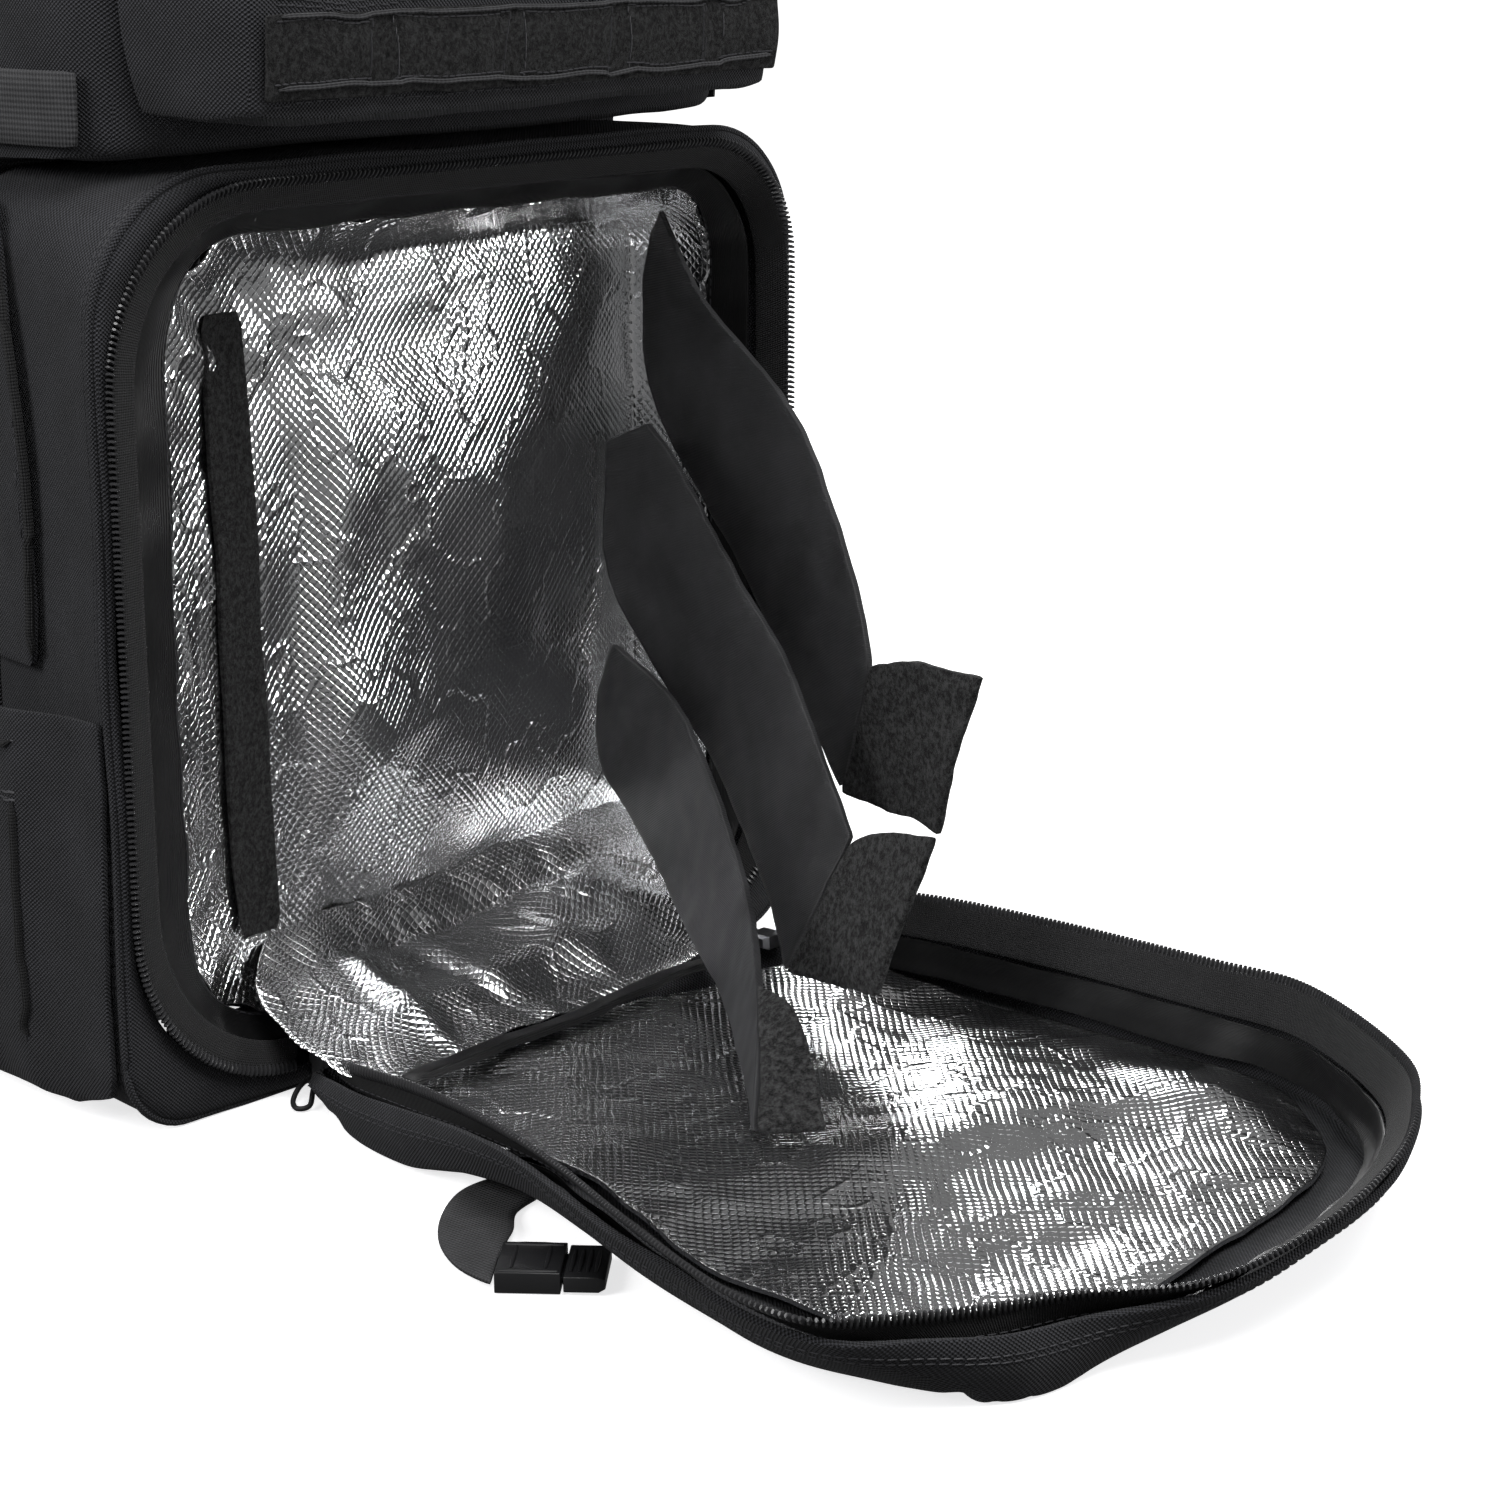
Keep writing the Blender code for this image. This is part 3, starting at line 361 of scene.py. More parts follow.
def corded(name, cloth, paths, radius, look, sides=7):
    """Piping or bound edges: round cord under cloth, laid along a finished piece."""
    tree = skin(cloth)
    points, faces, where = [], [], []
    for path in paths:
        line = []
        for point, run in walk(path, 0.0035):
            spot, up, _, _ = tree.find_nearest(point)
            if not line or (spot - line[-1][0]).length > 0.0015:
                line.append((spot, up))
        base, gone = len(points), 0.0
        for i, (spot, up) in enumerate(line):
            run = (line[min(i + 1, len(line) - 1)][0] - line[max(i - 1, 0)][0]).normalized()
            up = (up - run * up.dot(run)).normalized()
            side = up.cross(run)
            gone += (spot - line[max(i - 1, 0)][0]).length
            thick = radius * (0.4 if i in (0, len(line) - 1) else 1.0)
            for j in range(sides):
                angle = TURN * j / sides
                points.append(spot + up * (radius * 0.35 + thick * math.sin(angle))
                              + side * (thick * math.cos(angle)))
                where.append((radius * angle, gone))
        for i in range(len(line) - 1):
            for j in range(sides):
                k = (j + 1) % sides
                faces.append((base + i * sides + j, base + i * sides + k, base + (i + 1) * sides + k,
                              base + (i + 1) * sides + j))
        faces.append(tuple(base + j for j in reversed(range(sides))))
        faces.append(tuple(base + (len(line) - 1) * sides + j for j in range(sides)))
    mesh = bpy.data.meshes.new(name)
    mesh.from_pydata([tuple(p) for p in points], [], faces)
    layer = mesh.uv_layers.new(name="cloth")
    for loop in mesh.loops:
        layer.data[loop.index].uv = where[loop.vertex_index]
    piece = bpy.data.objects.new(name, mesh)
    bpy.context.scene.collection.objects.link(piece)
    work = bmesh.new()
    work.from_mesh(mesh)
    bmesh.ops.recalc_face_normals(work, faces=work.faces)
    work.to_mesh(mesh)
    work.free()
    return finish(piece, look, ())


def rounded(left, right, bottom, top, radii, depth, sides=10, arc=10):
    """A rounded opening seen from the front: corner radii bottom left, bottom right, top right, top left."""
    corners = ((left, bottom, 1, 1, 180, radii[0]), (right, bottom, -1, 1, 270, radii[1]),
               (right, top, -1, -1, 0, radii[2]), (left, top, 1, -1, 90, radii[3]))
    arcs = []
    for x, z, dx, dz, first, radius in corners:
        turn = [math.radians(first + 90 * k / arc) for k in range(arc + 1)]
        arcs.append([(x + dx * radius + radius * math.cos(t), z + dz * radius + radius * math.sin(t))
                     for t in turn])
    ring = []
    for index, curve in enumerate(arcs):
        ring += curve
        a, b = curve[-1], arcs[(index + 1) % 4][0]
        ring += [(a[0] + (b[0] - a[0]) * k / sides, a[1] + (b[1] - a[1]) * k / sides)
                 for k in range(1, sides)]
    count = len(ring)
    result = []
    for j, (x, z) in enumerate(ring):
        ax, az = ring[(j + 1) % count][0] - ring[j - 1][0], ring[(j + 1) % count][1] - ring[j - 1][1]
        length = math.hypot(ax, az)
        nx, nz = az / length, -ax / length
        weights = (max(0, -nx) ** 2, max(0, nx) ** 2, max(0, nz) ** 2, max(0, -nz) ** 2)
        result.append(Vector((x, sum(w * d for w, d in zip(weights, depth)) / sum(weights), z)) + BASE)
    return result


def ring(name):
    left, right, bottom, top, radii, depth = RINGS[name]
    return rounded(left, right, bottom, top, radii, depth)


def between(a, b, t, lift=0.0):
    return [p.lerp(q, t) + Vector((0, lift, 0)) for p, q in zip(a, b)]


cordura = woven("cordura", 0.00135, (0.0020, 0.0020, 0.0026), (0.0470, 0.0478, 0.0560))
thread = moulded("thread", (0.0300, 0.0300, 0.0340), 0.55)
back, waist, edge, rim = ring("back"), ring("waist"), ring("edge"), ring("frame")
shell = surface("cooler_shell", [back, between(back, waist, 0.5), waist, between(waist, edge, 0.35),
                                 between(waist, edge, 0.65), between(waist, edge, 0.9), edge,
                                 between(edge, rim, 0.45, -0.0014), rim], -0.0024, wrap=True, levels=1)
crumple(shell, 0.0012, 22.0)
unfold(shell)
finish(shell, cordura, ["cooler_shell"])
stitches("cooler_shell_stitches", shell, [between(waist, edge, 0.86), between(waist, edge, 0.80)])

corded("cooler_rim_piping", shell, [between(waist, edge, 0.96) + [between(waist, edge, 0.96)[0]]], 0.0013,
       cordura)

# Cool box zip: the bag's half of a coil zip, from slider to slider. The tape is woven polyester, sewn
# between shell and facing, and its nylon coil has a turn every 1.84 mm.
COIL_PITCH = 0.00184


def ribbed(name, pitch, dark, pale):
    """Webbing or zip tape: ribs across its run."""
    look = Look(name, 0.7, sheen=0.05, specular=0.30)
    u, v = look.flat()
    ribs = (u * (TURN / pitch)).sin() * 0.6 + (v * (TURN / (pitch * 1.3))).sin() * 0.3
    look.bump(ribs + look.noise(900.0) * 0.3, 0.00030, 0.9)
    look.colours(ribs * 0.3 + look.noise(120.0) * 0.5 + 0.2, ((0.1, dark), (0.9, pale)))
    return look.material


def zip_half(name, line, inwards, node):
    """The turns of a zip's coil along its line."""
    places, carry = [], 0.0
    for a, b, c, d in zip(line, line[1:], inwards, inwards[1:]):
        length = (b - a).length
        while carry < length:
            t = carry / length
            run = (b - a).normalized()
            side = (c.lerp(d, t) - a.lerp(b, t)).normalized()
            up = run.cross(side).normalized()
            side = (up.cross(run) + run * 0.18).normalized()
            places.append((a.lerp(b, t), run, side, up))
            carry += COIL_PITCH
        carry -= length
    piece = beads(name, places, (0.00068, 0.0019, 0.00115), sides=6, rings=4)
    return finish(piece, coil_plastic, [node])


zip_cloth = ribbed("zip_tape", 0.0008, (0.0060, 0.0060, 0.0066), (0.0180, 0.0180, 0.0190))
coil_plastic = moulded("zip_coil", (0.0340, 0.0340, 0.0360), 0.24)
coil = ring("coil")
count = len(coil)
first = min(range(count), key=lambda j: (coil[j] - Vector((0.098, -0.1428, 0.0105))).length)
last = min(range(count), key=lambda j: (coil[j] - Vector((-0.091, -0.1428, 0.0105))).length)
upper = [(first + k) % count for k in range((last - first) % count + 1)]
inner = ring("tape")
tape_rows = [[coil[j].lerp(inner[j], t) + Vector((0, 0.0004 if t < 0.1 else 0.0, 0)) for j in upper]
             for t in (0.05, 0.4, 0.7, 1.0)]
tape = surface("cooler_zip_tape", tape_rows, 0.0009, levels=1)
finish(tape, zip_cloth, ["cooler_zip_tape"])
stitches("cooler_zip_stitches", tape, [[coil[j].lerp(inner[j], 0.80) for j in upper]])

zip_half("cooler_zip_coil", [coil[j] for j in upper], [inner[j] for j in upper], "cooler_zip_coil")

# Inside the mouth: a smooth black facing of coated nylon, cut as a ring and sewn to the zip tape outside
# and to the foil inside.


def satin(name, dark, pale, roughness):
    """Smooth coated nylon with a fine rib and a soft shine."""
    look = Look(name, roughness, sheen=0.0, specular=0.4)
    u, v = look.flat()
    rib = (v * (TURN / 0.0006)).sin()
    look.bump(rib * 0.15 + look.noise(55.0, 3.0) * 0.9, 0.0006, 0.7)
    look.colours(look.noise(40.0, 3.0), ((0.3, dark), (0.7, pale)))
    return look.material


shell_nylon = satin("coated_nylon", (0.0035, 0.0035, 0.0038), (0.0080, 0.0080, 0.0085), 0.38)
mouth, seam = ring("facing"), ring("seam")
facing = surface("cooler_facing", [mouth, between(mouth, seam, 0.3, 0.0012),
                                   between(mouth, seam, 0.65, 0.0014), seam],
                 -0.0010, wrap=True, levels=2)
crumple(facing, 0.0016, 45.0, 3.0)
finish(facing, shell_nylon, ["cooler_facing"])
stitches("facing_stitches", facing, [between(mouth, seam, 0.93)])

# Foil lining of walls and back: embossed metallised film on thin foam. It bulges between its seams, and
# is sewn in along the rim, where it puckers.


def foil_look(name, pitch, roughness):
    """Embossed metallised film: staggered small pillows between fine grooves."""
    look = Look(name, roughness, metallic=1.0)
    u, v = look.flat()
    a = ((u + v) * (math.pi / pitch)).sin()
    b = ((u - v) * (math.pi / pitch)).sin()
    pillow = (abs(a) * abs(b)).power(0.6)
    crinkle = (1 - abs(look.noise(34.0, 2.0) - 0.5) * 26.0).max(0.0)
    look.bump(pillow * 0.55 + crinkle * 0.9 + look.noise(14.0) * 6.0, 0.00030, 1.0)
    look.colours(look.noise(25.0, 3.0), ((0.3, (0.80, 0.81, 0.82)), (0.7, (0.93, 0.93, 0.94))))
    return look.material


def finer(name, node, levels, hold=0.85):
    """A finer copy of a frame node's mesh, to be folded and creased."""
    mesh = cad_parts[node].data.copy()
    piece = bpy.data.objects.new(name, mesh)
    bpy.context.scene.collection.objects.link(piece)
    work = bmesh.new()
    work.from_mesh(mesh)
    bmesh.ops.remove_doubles(work, verts=work.verts, dist=0.00002)
    bmesh.ops.join_triangles(work, faces=work.faces, angle_face_threshold=0.7, angle_shape_threshold=0.9)
    firm = work.edges.layers.float.new("crease_edge")
    for line in work.edges:
        if len(line.link_faces) == 2 and line.calc_face_angle(0.0) > 0.9:
            line[firm] = hold
    work.to_mesh(mesh)
    work.free()
    if levels:
        step = piece.modifiers.new("finer", "SUBSURF")
        step.levels = step.render_levels = levels
        apply_all(piece)
    return piece


def fold(piece, rows):
    """Folds and dents: start, end, half width, push. Each fades out towards its two ends."""
    count = len(piece.data.vertices)
    points = np.empty(count * 3)
    piece.data.vertices.foreach_get("co", points)
    points = points.reshape(-1, 3)
    moved = points.copy()
    for start, end, width, push in rows:
        start, end = np.array(start), np.array(end)
        run = end - start
        share = np.clip(((points - start) @ run) / (run @ run), 0.0, 1.0)
        away = np.linalg.norm(points - (start + share[:, None] * run), axis=1)
        weight = np.exp(-(away / width) ** 2) * (0.35 + 0.65 * np.sin(np.pi * share))
        moved += weight[:, None] * np.array(push)
    piece.data.vertices.foreach_set("co", moved.ravel())
    piece.data.update()


film = foil_look("foil", 0.0036, 0.13)
lining = finer("cooler_lining", "cooler_lining", 3)
fold(lining, (
    ((-0.050, -0.118, 0.235), (0.075, -0.112, 0.240), 0.016, (0, 0.0050, 0)),
    ((-0.060, -0.118, 0.070), (-0.050, -0.118, 0.235), 0.014, (0, 0.0040, 0)),
    ((-0.020, -0.118, 0.190), (0.020, -0.112, 0.110), 0.022, (0, 0.0045, 0)),
    ((0.030, -0.112, 0.200), (0.060, -0.112, 0.140), 0.018, (0, -0.0040, 0)),
    ((-0.045, -0.118, 0.130), (0.000, -0.112, 0.085), 0.020, (0, -0.0045, 0)),
    ((0.020, -0.112, 0.100), (0.090, -0.106, 0.075), 0.016, (0, 0.0040, 0)),
    ((-0.030, -0.112, 0.215), (-0.040, -0.112, 0.160), 0.012, (0, -0.0030, 0)),
    ((0.060, -0.110, 0.190), (0.085, -0.106, 0.090), 0.010, (0, 0.0030, 0)),
))
crumple(lining, 0.0018, 30.0, 1.5)
crumple(lining, 0.0007, 95.0, 4.5)
for vertex in lining.data.vertices:
    co = vertex.co
    rim_share = max(0.0, min(1.0, (-0.108 - co.y) / 0.018))
    angle = math.atan2(co.z - 0.155, co.x)
    wave = math.sin(angle * 53) * 0.5 + math.sin(angle * 31 + 1.0) * 0.5
    vertex.co += Vector((-co.x, 0.0, 0.155 - co.z)).normalized() * (0.0026 * wave * rim_share ** 2)
    vertex.co.y += 0.0012 * math.sin(angle * 41) * rim_share
unfold(lining)
finish(lining, film, ["cooler_lining"], crease=60)
corded("foil_piping", lining, [seam[34:50]], 0.0016, film)

# Side loop strip: loop tape sewn up the left of the back wall, for the dividers' hook tabs. It lies on
# the padded foil, whose unevenness it follows.


def plush(name, scale, dark, pale):
    """Hook or loop tape: a matt pile of tangled filaments."""
    look = Look(name, 0.95, sheen=0.08, specular=0.10)
    pile = look.noise(scale, 6.0, 0.8)
    look.bump(pile, 0.0022, 1.0)
    look.colours(pile, ((0.42, dark), (0.62, pale)))
    return look.material


loops = plush("loop_tape", 560.0, (0.0010, 0.0010, 0.0012), (0.0480, 0.0480, 0.0490))
strip = finer("side_loop_strip", "side_loop_strip", 3)
padding = skin(lining)
low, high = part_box("side_loop_strip")
for vertex in strip.data.vertices:
    spot, _, _, _ = padding.ray_cast(Vector((vertex.co.x, -0.16, vertex.co.z)), Vector((0, 1, 0)))
    if spot is not None:
        middle = (low.y + high.y) / 2 + (vertex.co.x - (low.x + high.x) / 2) * 0.32
        vertex.co.y = spot.y - (0.0022 if vertex.co.y < middle else 0.0006)
unfold(strip)
finish(strip, loops, ["side_loop_strip"])

# Foil floor: the same padded film from the back wall's fold forward over the hinge, creased and
# bulged where it bends. Its rows run from the hinge to the back.
FLOOR = (
    (-0.0500, -0.0890, 0.0680, 0.0170), (-0.0400, -0.0960, 0.0760, 0.0190),
    (-0.0280, -0.1010, 0.0860, 0.0220), (-0.0080, -0.1010, 0.1080, 0.0290),
    (0.0080, -0.0980, 0.1180, 0.0350), (0.0180, -0.0900, 0.1240, 0.0400),
    (0.0270, -0.0790, 0.1260, 0.0470))
rows = []
for depth, left, right, height in FLOOR:
    row = []
    for k in range(25):
        t = k / 24
        back_run = 0.028 * t * max(0.0, (depth + 0.048) / 0.078)
        row.append(Vector((left + (right - left) * t, depth + back_run + 0.010 * t * (depth < -0.045),
                           height
                           + 0.0015 * math.sin(9.0 * t + 40 * depth))) + BASE)
    rows.append(row)
bottom = surface("cooler_floor", rows, -0.0022, levels=2)
fold(bottom, (
    ((-0.085, -0.128, 0.036), (0.110, -0.106, 0.036), 0.007, (0, 0, -0.0050)),
    ((-0.095, -0.165, 0.024), (0.060, -0.150, 0.028), 0.009, (0, 0, 0.0045)),
    ((-0.060, -0.182, 0.020), (-0.055, -0.125, 0.036), 0.005, (0, 0, 0.0040)),
    ((-0.020, -0.182, 0.020), (-0.030, -0.125, 0.036), 0.006, (0, 0, -0.0040)),
    ((0.030, -0.175, 0.022), (0.020, -0.125, 0.036), 0.007, (0, 0, 0.0040)),
    ((0.080, -0.150, 0.026), (0.050, -0.120, 0.036), 0.006, (0, 0, 0.0055)),
    ((0.095, -0.140, 0.028), (0.085, -0.112, 0.036), 0.005, (0, 0, -0.0045)),
))
crumple(bottom, 0.0026, 30.0, 2.0)
crumple(bottom, 0.0011, 95.0, 6.0)
finish(bottom, film, ["cooler_floor"], crease=60)

# Hinge: the bound seam of coated nylon between the two foils, and the woven panel outside it, which
# carries the lid. The lid folds here, in cloth.
binding = finer("hinge_binding", "hinge_binding", 2)
crumple(binding, 0.0012, 60.0)
unfold(binding)
finish(binding, shell_nylon, ["hinge_binding"])
hinge = finer("hinge_panel", "hinge_panel", 2)
unfold(hinge)
finish(hinge, cordura, ["hinge_panel"])

# Lid's outer cloth: a shallow woven tray that lies on its outside, with a double row of stitches round
# its wall. The tables are the zip edge and the outline on the floor, in x, y and z.
LID_EDGE = (
    (-0.0890, -0.0130, 0.0135), (-0.1010, -0.0380, 0.0200), (-0.1100, -0.0800, 0.0260),
    (-0.1210, -0.1210, 0.0300), (-0.1340, -0.1640, 0.0320), (-0.1540, -0.2140, 0.0340),
    (-0.1680, -0.2600, 0.0340), (-0.1670, -0.2890, 0.0330), (-0.1470, -0.3020, 0.0300),
    (-0.1190, -0.3140, 0.0270), (-0.0920, -0.3250, 0.0260), (-0.0630, -0.3480, 0.0270),
    (-0.0260, -0.3590, 0.0340), (0.0130, -0.3580, 0.0410), (0.0450, -0.3460, 0.0450),
    (0.0800, -0.3200, 0.0450), (0.1210, -0.2600, 0.0420), (0.1270, -0.2150, 0.0400),
    (0.1300, -0.1490, 0.0380), (0.1280, -0.0950, 0.0360), (0.1230, -0.0600, 0.0310),
    (0.1060, -0.0460, 0.0200))
LID_BASE = (
    (-0.0940, -0.0220), (-0.1060, -0.0450), (-0.1130, -0.0800), (-0.1160, -0.1210), (-0.1210, -0.1640),
    (-0.1300, -0.2140), (-0.1330, -0.2600), (-0.1310, -0.2900), (-0.1240, -0.3080), (-0.1080, -0.3190),
    (-0.0850, -0.3220), (-0.0500, -0.3230), (-0.0150, -0.3230), (0.0250, -0.3220), (0.0620, -0.3170),
    (0.0930, -0.3000), (0.1200, -0.2620), (0.1250, -0.2150), (0.1270, -0.1490), (0.1250, -0.0950),
    (0.1180, -0.0640), (0.1040, -0.0500))


def smooth(stations, steps):
    """A rounded curve through the stations."""
    stations = [Vector(p) for p in stations]
    result = []
    for i in range(len(stations) - 1):
        a, b, c = stations[max(i - 1, 0)], stations[i], stations[i + 1]
        d = stations[min(i + 2, len(stations) - 1)]
        for k in range(steps):
            t = k / steps
            result.append(0.5 * ((2 * b) + (c - a) * t + (2 * a - 5 * b + 4 * c - d) * t * t
                                 + (3 * b - a - 3 * c + d) * t ** 3))
    return result + [stations[-1]]


def base_height(x, y):
    """The outer cloth's height: its near edge is lifted where the strap passes under it."""
    lift = max(0.0, 1 - abs(y + 0.150) / 0.075) * max(0.0, min(1.0, (-0.030 - x) / 0.085))
    return 0.0012 + 0.0110 * lift


def lid_row(share, inset=0.0, lift=0.0):
    """A line along the lid's wall: share 0 at its base, 1 at the zip, moved inwards by the inset."""
    row = []
    end = len(lid_edge) - 1
    for j, (a, b) in enumerate(zip(lid_edge, lid_base)):
        low = Vector((b.x, b.y, base_height(b.x, b.y)))
        run = lid_base[min(j + 1, end)] - lid_base[max(j - 1, 0)]
        inward = Vector((-run.y, run.x, 0)).normalized()
        row.append(low.lerp(a, share) + inward * (inset - 0.005 * math.sin(math.pi * share)) + BASE
                   + Vector((0, 0, lift)))
    return row


lid_edge = smooth(LID_EDGE, 8)
lid_base = smooth([(x, y, 0.0) for x, y in LID_BASE], 8)

lid_shell = finer("lid_shell", "lid_shell", 3)
fold(lid_shell, (
    ((-0.118, -0.235, 0.010), (-0.150, -0.330, 0.016), 0.010, (0.0020, 0, 0.0020)),
))
crumple(lid_shell, 0.0016, 26.0, 2.5)
unfold(lid_shell)
finish(lid_shell, cordura, ["lid_shell"])
stitches("lid_shell_stitches", lid_shell, [lid_row(0.52, -0.002), lid_row(0.60, -0.002)])

# Lid's zip: the other half of the coil zip, on woven tape that is sewn inside the tray's edge from one
# slider to the other.
coil_row, tape_row = lid_row(1.0, 0.0030), lid_row(0.60, 0.0098)
lid_tape = surface("lid_zip_tape", [[a.lerp(b, t) for a, b in zip(coil_row, tape_row)]
                                    for t in (0.03, 0.4, 0.75, 1.0)],
                   0.0009, levels=1)
finish(lid_tape, zip_cloth, ["lid_zip_tape"])
stitches("lid_zip_stitches", lid_tape, [[a.lerp(b, 0.8) for a, b in zip(coil_row, tape_row)]])
zip_half("lid_zip_coil", coil_row, tape_row, "lid_zip_coil")

# Lid's wall lining: coated nylon between the zip tape and the foil, sewn to both and slack between
# the two seams.
wall = surface("lid_wall_lining", [lid_row(0.56, 0.0100)[8:-8], lid_row(0.45, 0.0100)[8:-8],
                                   lid_row(0.34, 0.0092)[8:-8],
                                   lid_row(0.24, 0.0110)[8:-8]],
               -0.0010, levels=1)
crumple(wall, 0.0012, 50.0, 5.0)
finish(wall, shell_nylon, ["lid_wall_lining"])

# Lid's foil: the same embossed film on thin foam in the bottom of the tray, sewn in along its edge,
# with broad soft dents.
lid_foil = finer("lid_lining", "lid_lining", 4)
fold(lid_foil, (
    ((-0.050, -0.330, 0.012), (0.060, -0.360, 0.012), 0.022, (0, 0, 0.0045)),
    ((-0.080, -0.400, 0.012), (0.020, -0.430, 0.012), 0.018, (0, 0, -0.0030)),
    ((-0.090, -0.300, 0.012), (-0.060, -0.230, 0.012), 0.020, (0, 0, 0.0040)),
    ((0.030, -0.300, 0.012), (0.090, -0.260, 0.012), 0.018, (0, 0, -0.0030)),
    ((0.070, -0.430, 0.012), (0.100, -0.330, 0.012), 0.012, (0, 0, 0.0040)),
    ((-0.010, -0.260, 0.012), (-0.040, -0.200, 0.012), 0.016, (0, 0, 0.0030)),
))
crumple(lid_foil, 0.0030, 18.0, 7.0)
crumple(lid_foil, 0.0008, 80.0, 3.0)
unfold(lid_foil)
finish(lid_foil, film, ["lid_lining"], crease=60)

# Dividers: smooth double cloth over a stiffener, each ending in a tab of hook tape. They are sewn to
# the right wall and hang out of the mouth.
divider_nylon = satin("divider_nylon", (0.0200, 0.0200, 0.0214), (0.0390, 0.0390, 0.0415), 0.42)
hooks = plush("hook_tape", 420.0, (0.0010, 0.0010, 0.0012), (0.0700, 0.0700, 0.0715))
for name, seed in (("divider_top", 1.0), ("divider_middle", 2.0), ("divider_low", 3.0)):
    panel = finer(name, name, 3)
    crumple(panel, 0.0014, 24.0, seed)
    crumple(panel, 0.0004, 120.0, seed)
    unfold(panel)
    finish(panel, divider_nylon, [name])
    tab = finer(name + "_tab", name + "_tab", 3)
    crumple(tab, 0.0016, 34.0, seed)
    crumple(tab, 0.0005, 160.0, seed)
    unfold(tab)
    finish(tab, hooks, [name + "_tab"])

# Main body: the tall tub of woven nylon behind the cool box, sewn to its base and closed by the main
# zip, with slack vertical folds down its sides.
body = finer("main_body", "main_body", 3)
fold(body, [((side * 0.147, y, top), (side * 0.148, y + lean, foot), width, (side * push, 0, 0))
            for side in (-1, 1) for y, lean, top, foot, width, push in (
                (-0.060, 0.012, 0.480, 0.350, 0.008, 0.0035),
                (-0.030, -0.008, 0.500, 0.345, 0.007, -0.0035),
                (0.010, 0.010, 0.490, 0.350, 0.009, 0.0035),
                (0.045, -0.006, 0.470, 0.345, 0.007, -0.0030),
                (-0.085, 0.004, 0.420, 0.345, 0.006, -0.0030))])
crumple(body, 0.0022, 14.0, 1.0)
crumple(body, 0.0006, 60.0, 2.0)
unfold(body)
finish(body, cordura, ["main_body"])

# Top panel: woven nylon over thin foam, joined to the body at the back and by the main zip round the
# other sides. It domes a little.
cap = finer("top_panel", "top_panel", 3)
crumple(cap, 0.0022, 14.0, 1.0)
unfold(cap)
finish(cap, cordura, ["top_panel"])

# Upper front pocket and its flap: a slack box of woven nylon sewn to the front, with stitched edges,
# its top covered by a flap.
pocket = finer("front_pocket", "front_pocket", 3)
crumple(pocket, 0.0024, 24.0, 3.0)
crumple(pocket, 0.0006, 70.0, 3.0)
unfold(pocket)
finish(pocket, cordura, ["front_pocket"])
flap = finer("front_pocket_flap", "front_pocket_flap", 3)
crumple(flap, 0.0016, 24.0, 3.0)
unfold(flap)
finish(flap, cordura, ["front_pocket_flap"])
stitches("front_pocket_stitches", pocket, [
    [Vector((x, -0.20, z)) for x in np.linspace(-0.112, 0.100, 12)] for z in (0.3225, 0.3540, 0.3560)])

# Side pockets: a flat arched panel with a piped edge above an open bottle pocket, whose double
# stitched hem is slack. Both are woven cloth, the same on the two sides.
SLACK = (
    ((0.1480, -0.100, 0.290), (0.1480, -0.095, 0.150), 0.006, 0.0030),
    ((0.1480, -0.070, 0.280), (0.1480, -0.080, 0.160), 0.005, -0.0030),
    ((0.1480, -0.040, 0.290), (0.1480, -0.050, 0.170), 0.008, 0.0035),
    ((0.1550, -0.120, 0.130), (0.1550, -0.118, 0.020), 0.005, -0.0030),
    ((0.1600, -0.100, 0.135), (0.1600, -0.095, 0.010), 0.007, 0.0035),
    ((0.1650, -0.070, 0.135), (0.1650, -0.080, 0.010), 0.006, -0.0035),
    ((0.1650, -0.040, 0.130), (0.1650, -0.030, 0.020), 0.009, 0.0040),
)
for name, side in (("left", -1), ("right", 1)):
    slack = [((a[0] * side, a[1], a[2]), (b[0] * side, b[1], b[2]), width, (push * side, 0, 0))
             for a, b, width, push in SLACK]
    for kind in ("side_pocket_", "bottle_pocket_"):
        panel = finer(kind + name, kind + name, 3)
        fold(panel, slack)
        if kind == "bottle_pocket_":
            for vertex in panel.data.vertices:
                corner = (max(0.0, (0.022 - vertex.co.z) / 0.022)
                          * max(0.0, (-0.108 - vertex.co.y) / 0.022))
                vertex.co += Vector((-side * 0.0020, 0.0050, 0.0090)) * min(1.0, corner)
        crumple(panel, 0.0014, 24.0, 4.0)
        crumple(panel, 0.0004, 90.0, 4.0)
        unfold(panel)
        finish(panel, cordura, [kind + name])
        far = side * 0.30
        if kind == "side_pocket_":
            lines = [[Vector((far, y - 0.140, z)) for y, z in (
                (0.0500, 0.158), (0.0455, 0.205), (0.0510, 0.252), (0.0590, 0.288), (0.1560, 0.288))]]
            piping = [Vector((side * 0.1535, y - 0.140, z)) for y, z in (
                (0.0560, 0.296), (0.0480, 0.262), (0.0415, 0.205), (0.0430, 0.152))]
        else:
            lines = [[Vector((far, y - 0.140, z)) for y in np.linspace(0.010, 0.160, 14)]
                     for z in (0.1350, 0.1175, 0.1150)]
            lines.append([Vector((far, y - 0.140, z)) for y, z in ((0.0110, 0.112), (0.0110, 0.012))])
        stitches(kind + name + "_stitches", panel, lines)
        if kind == "side_pocket_":
            corded(kind + name + "_piping", panel, [piping], 0.0016, zip_cloth)
        else:
            corded(kind + name + "_hem", panel, [lines[0]], 0.0012, zip_cloth)
            corded(kind + name + "_binding", panel, [[p + Vector((0, -0.004, 0)) for p in lines[3]]],
                   0.0014, zip_cloth)

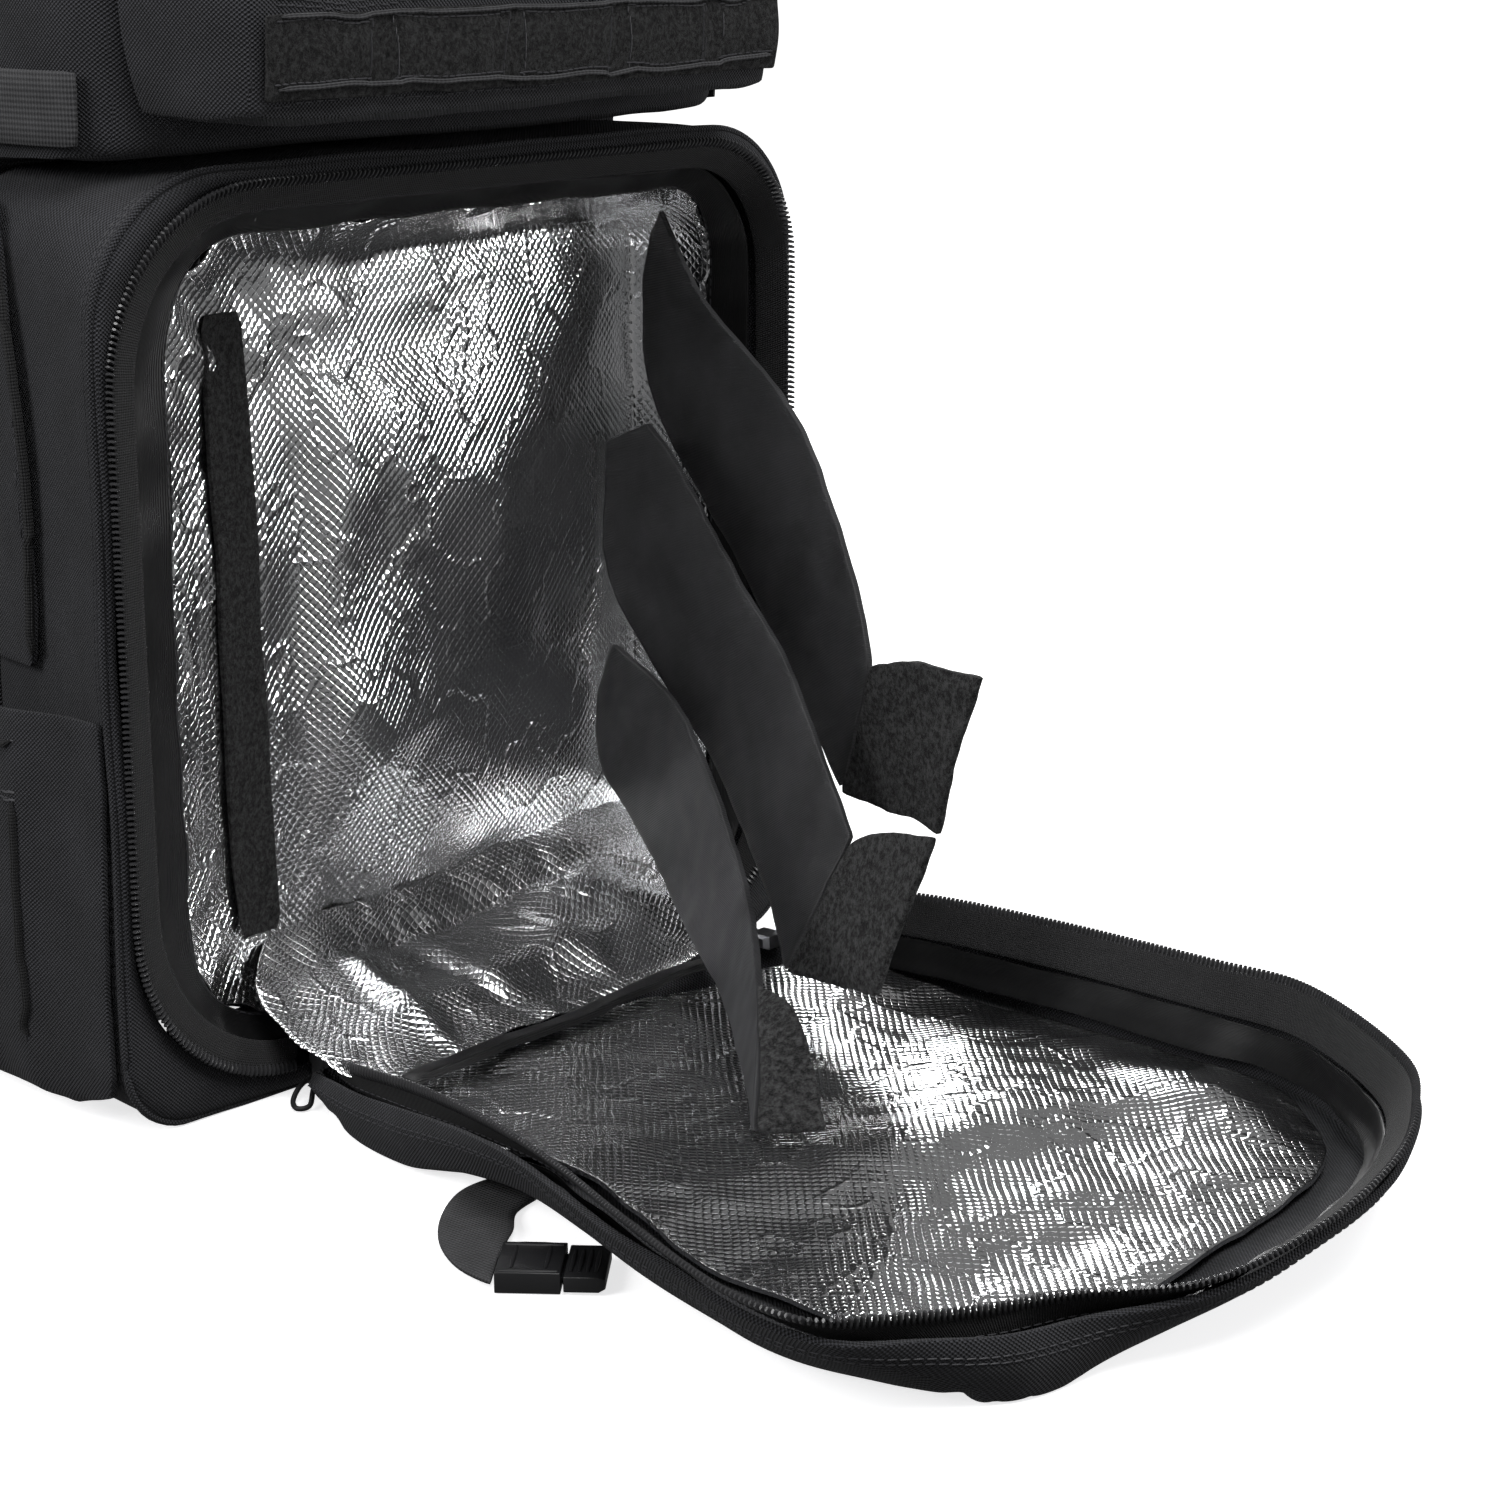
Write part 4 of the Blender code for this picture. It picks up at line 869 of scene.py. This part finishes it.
# Loop panel on the upper pocket: plush loop tape, sewn along both edges and bar-tacked across in
# four places, where it puckers.
webbing = ribbed("webbing", 0.0013, (0.0180, 0.0180, 0.0196), (0.0720, 0.0720, 0.0760))
panel = finer("loop_panel", "loop_panel", 4)
TACKS = (-0.0735, -0.0190, 0.0285, 0.0730)
fold(panel, [((x, -0.178, 0.326), (x, -0.178, 0.352), 0.0045, (0, 0.0022, 0)) for x in TACKS])
crumple(panel, 0.0008, 60.0, 2.0)
unfold(panel)
finish(panel, loops, ["loop_panel"])
stitches("loop_panel_stitches", panel, [[Vector((x + d, -0.20, 0.3275)), Vector((x + d, -0.20, 0.3505))]
                                        for x in TACKS for d in (-0.0009, 0.0009)]
         + [[Vector((-0.115, -0.20, z)), Vector((0.107, -0.20, z))] for z in (0.3280, 0.3500)],
         0.0020, 0.0006)

corded("loop_panel_edges", panel, [[Vector((-0.1145, -0.20, z)), Vector((0.1065, -0.20, z))]
                                   for z in (0.3262, 0.3518)],
       0.0008, webbing)

# Webbing: ribbed nylon side bands, lid strap, shoulder webbing and grab handle, sewn down at their ends,
# and the main zip's woven tape.
for name in ("side_webbing_left", "side_webbing_right", "lid_strap", "strap_webbing_left",
             "strap_webbing_right",
             "grab_handle", "main_zip_tape"):
    band = finer(name, name, 2)
    unfold(band)
    finish(band, zip_cloth if name == "main_zip_tape" else webbing, [name])

# Back pad and shoulder straps: foam under woven cloth, full between their seams.
GRID, PRESSURE, SWELLING, STEPS = 0.005, 4.0, 0.0035, 15
for name in ("back_pad", "shoulder_strap_left", "shoulder_strap_right"):
    pad = finer(name, name, 1)
    grid = pad.modifiers.new("grid", "REMESH")
    grid.mode, grid.voxel_size = "VOXEL", GRID
    apply_all(pad)
    rest = [v.co.copy() for v in pad.data.vertices]
    pressed = pad.modifiers.new("pressed", "CLOTH")
    pressed.settings.use_pressure = True
    pressed.settings.uniform_pressure_force = PRESSURE
    pressed.settings.effector_weights.gravity = 0.0
    for step in range(1, STEPS + 1):
        bpy.context.scene.frame_set(step)
    apply_all(pad)
    bpy.context.scene.frame_set(1)
    for vertex, start in zip(pad.data.vertices, rest):
        move = vertex.co - start
        vertex.co = start + move * min(1.0, SWELLING / max(move.length, 1e-9))
    again = pad.modifiers.new("finer", "SUBSURF")
    again.levels = again.render_levels = 1
    apply_all(pad)
    crumple(pad, 0.0012, 20.0, 5.0)
    unfold(pad)
    finish(pad, cordura, [name])

# Buckle: the two moulded halves of a side-release buckle, fastened, their edges rounded. Rails stiffen
# the body's sides, and ribs across both halves give grip.
plastic = moulded("moulded_plastic", (0.0110, 0.0110, 0.0120), 0.38)
for name in ("buckle_body", "buckle_latch"):
    half = finer(name, name, 0)
    soft = half.modifiers.new("rounded", "BEVEL")
    soft.width, soft.segments, soft.limit_method, soft.angle_limit = 0.00035, 2, "ANGLE", 0.6
    apply_all(half)
    finish(half, plastic, [name])

along, across = Vector((0.632, -0.775, 0.0)), Vector((0.775, 0.632, 0.0))
start = Vector((-0.1485, -0.1580, 0.0)) + BASE
body_top, latch_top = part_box("buckle_body")[1][2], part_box("buckle_latch")[1][2]
rails = beads("buckle_rails", [(start + along * 0.0100 + across * d + Vector((0, 0, body_top)), across,
                                along,
                                Vector((0, 0, 1))) for d in (-0.0092, 0.0092)], (0.0011, 0.0085, 0.0006),
                                rings=4)
finish(rails, plastic, ())
grips = beads("buckle_grips", [(start + along * (0.0222 + 0.0024 * k) + Vector((0, 0, latch_top)), along,
                                across,
                                Vector((0, 0, 1))) for k in range(4)]
              + [(start + along * s + Vector((0, 0, body_top)), along, across, Vector((0, 0, 1)))
                 for s in (0.0050, 0.0150)], (0.0007, 0.0078, 0.0006), rings=4)
finish(grips, plastic, ())

# Pull cords: a short loop of braided cord through the tab of each cool box slider, which both its ends
# go back to.
braid = moulded("cord_braid", (0.0090, 0.0090, 0.0100), 0.6)
for name, stations in (
        ("pull_cord_near", ((-0.0893, -0.0080, 0.0070), (-0.0950, -0.0085, 0.0050),
                            (-0.1000, -0.0110, 0.0022),
                            (-0.1025, -0.0160, 0.0016), (-0.0985, -0.0175, 0.0018),
                            (-0.0935, -0.0135, 0.0045),
                            (-0.0893, -0.0108, 0.0072))),
        ("pull_cord_far", ((0.0926, -0.0336, 0.0220), (0.0918, -0.0290, 0.0260),
                           (0.0928, -0.0265, 0.0320),
                           (0.0955, -0.0265, 0.0325), (0.0968, -0.0290, 0.0270),
                           (0.0958, -0.0336, 0.0220)))):
    route = [p + BASE for p in smooth(stations, 6)]
    line = bpy.data.curves.new(name, "CURVE")
    line.dimensions = "3D"
    spline = line.splines.new("POLY")
    spline.points.add(len(route) - 1)
    for point, spot in zip(spline.points, route):
        point.co = (*spot, 1.0)
    line.bevel_depth, line.bevel_resolution, line.use_fill_caps = 0.0009, 3, True
    line.materials.append(braid)
    loop_cord = bpy.data.objects.new(name + "_braid", line)
    bpy.context.scene.collection.objects.link(loop_cord)
    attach(loop_cord, "root")
    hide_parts(name)
    length = sum((b - a).length for a, b in zip(route, route[1:]))

# Hardware in its own shape: moulded ladder locks, plated sliders and pull tabs, and the main zip's
# nylon coil.
steel = moulded("plated_steel", (0.42, 0.42, 0.44), 0.30, 1.0)
for name, look in (("ladder_lock_left", plastic), ("ladder_lock_right", plastic),
                   ("main_zip_coil", coil_plastic), ("main_zip_pull", steel),
                   ("main_zip_slider", steel), ("zip_pull_far", steel), ("zip_pull_near", steel),
                   ("zip_slider_far", steel), ("zip_slider_near", steel)):
    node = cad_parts[name]
    node.data.materials.clear()
    node.data.materials.append(look)
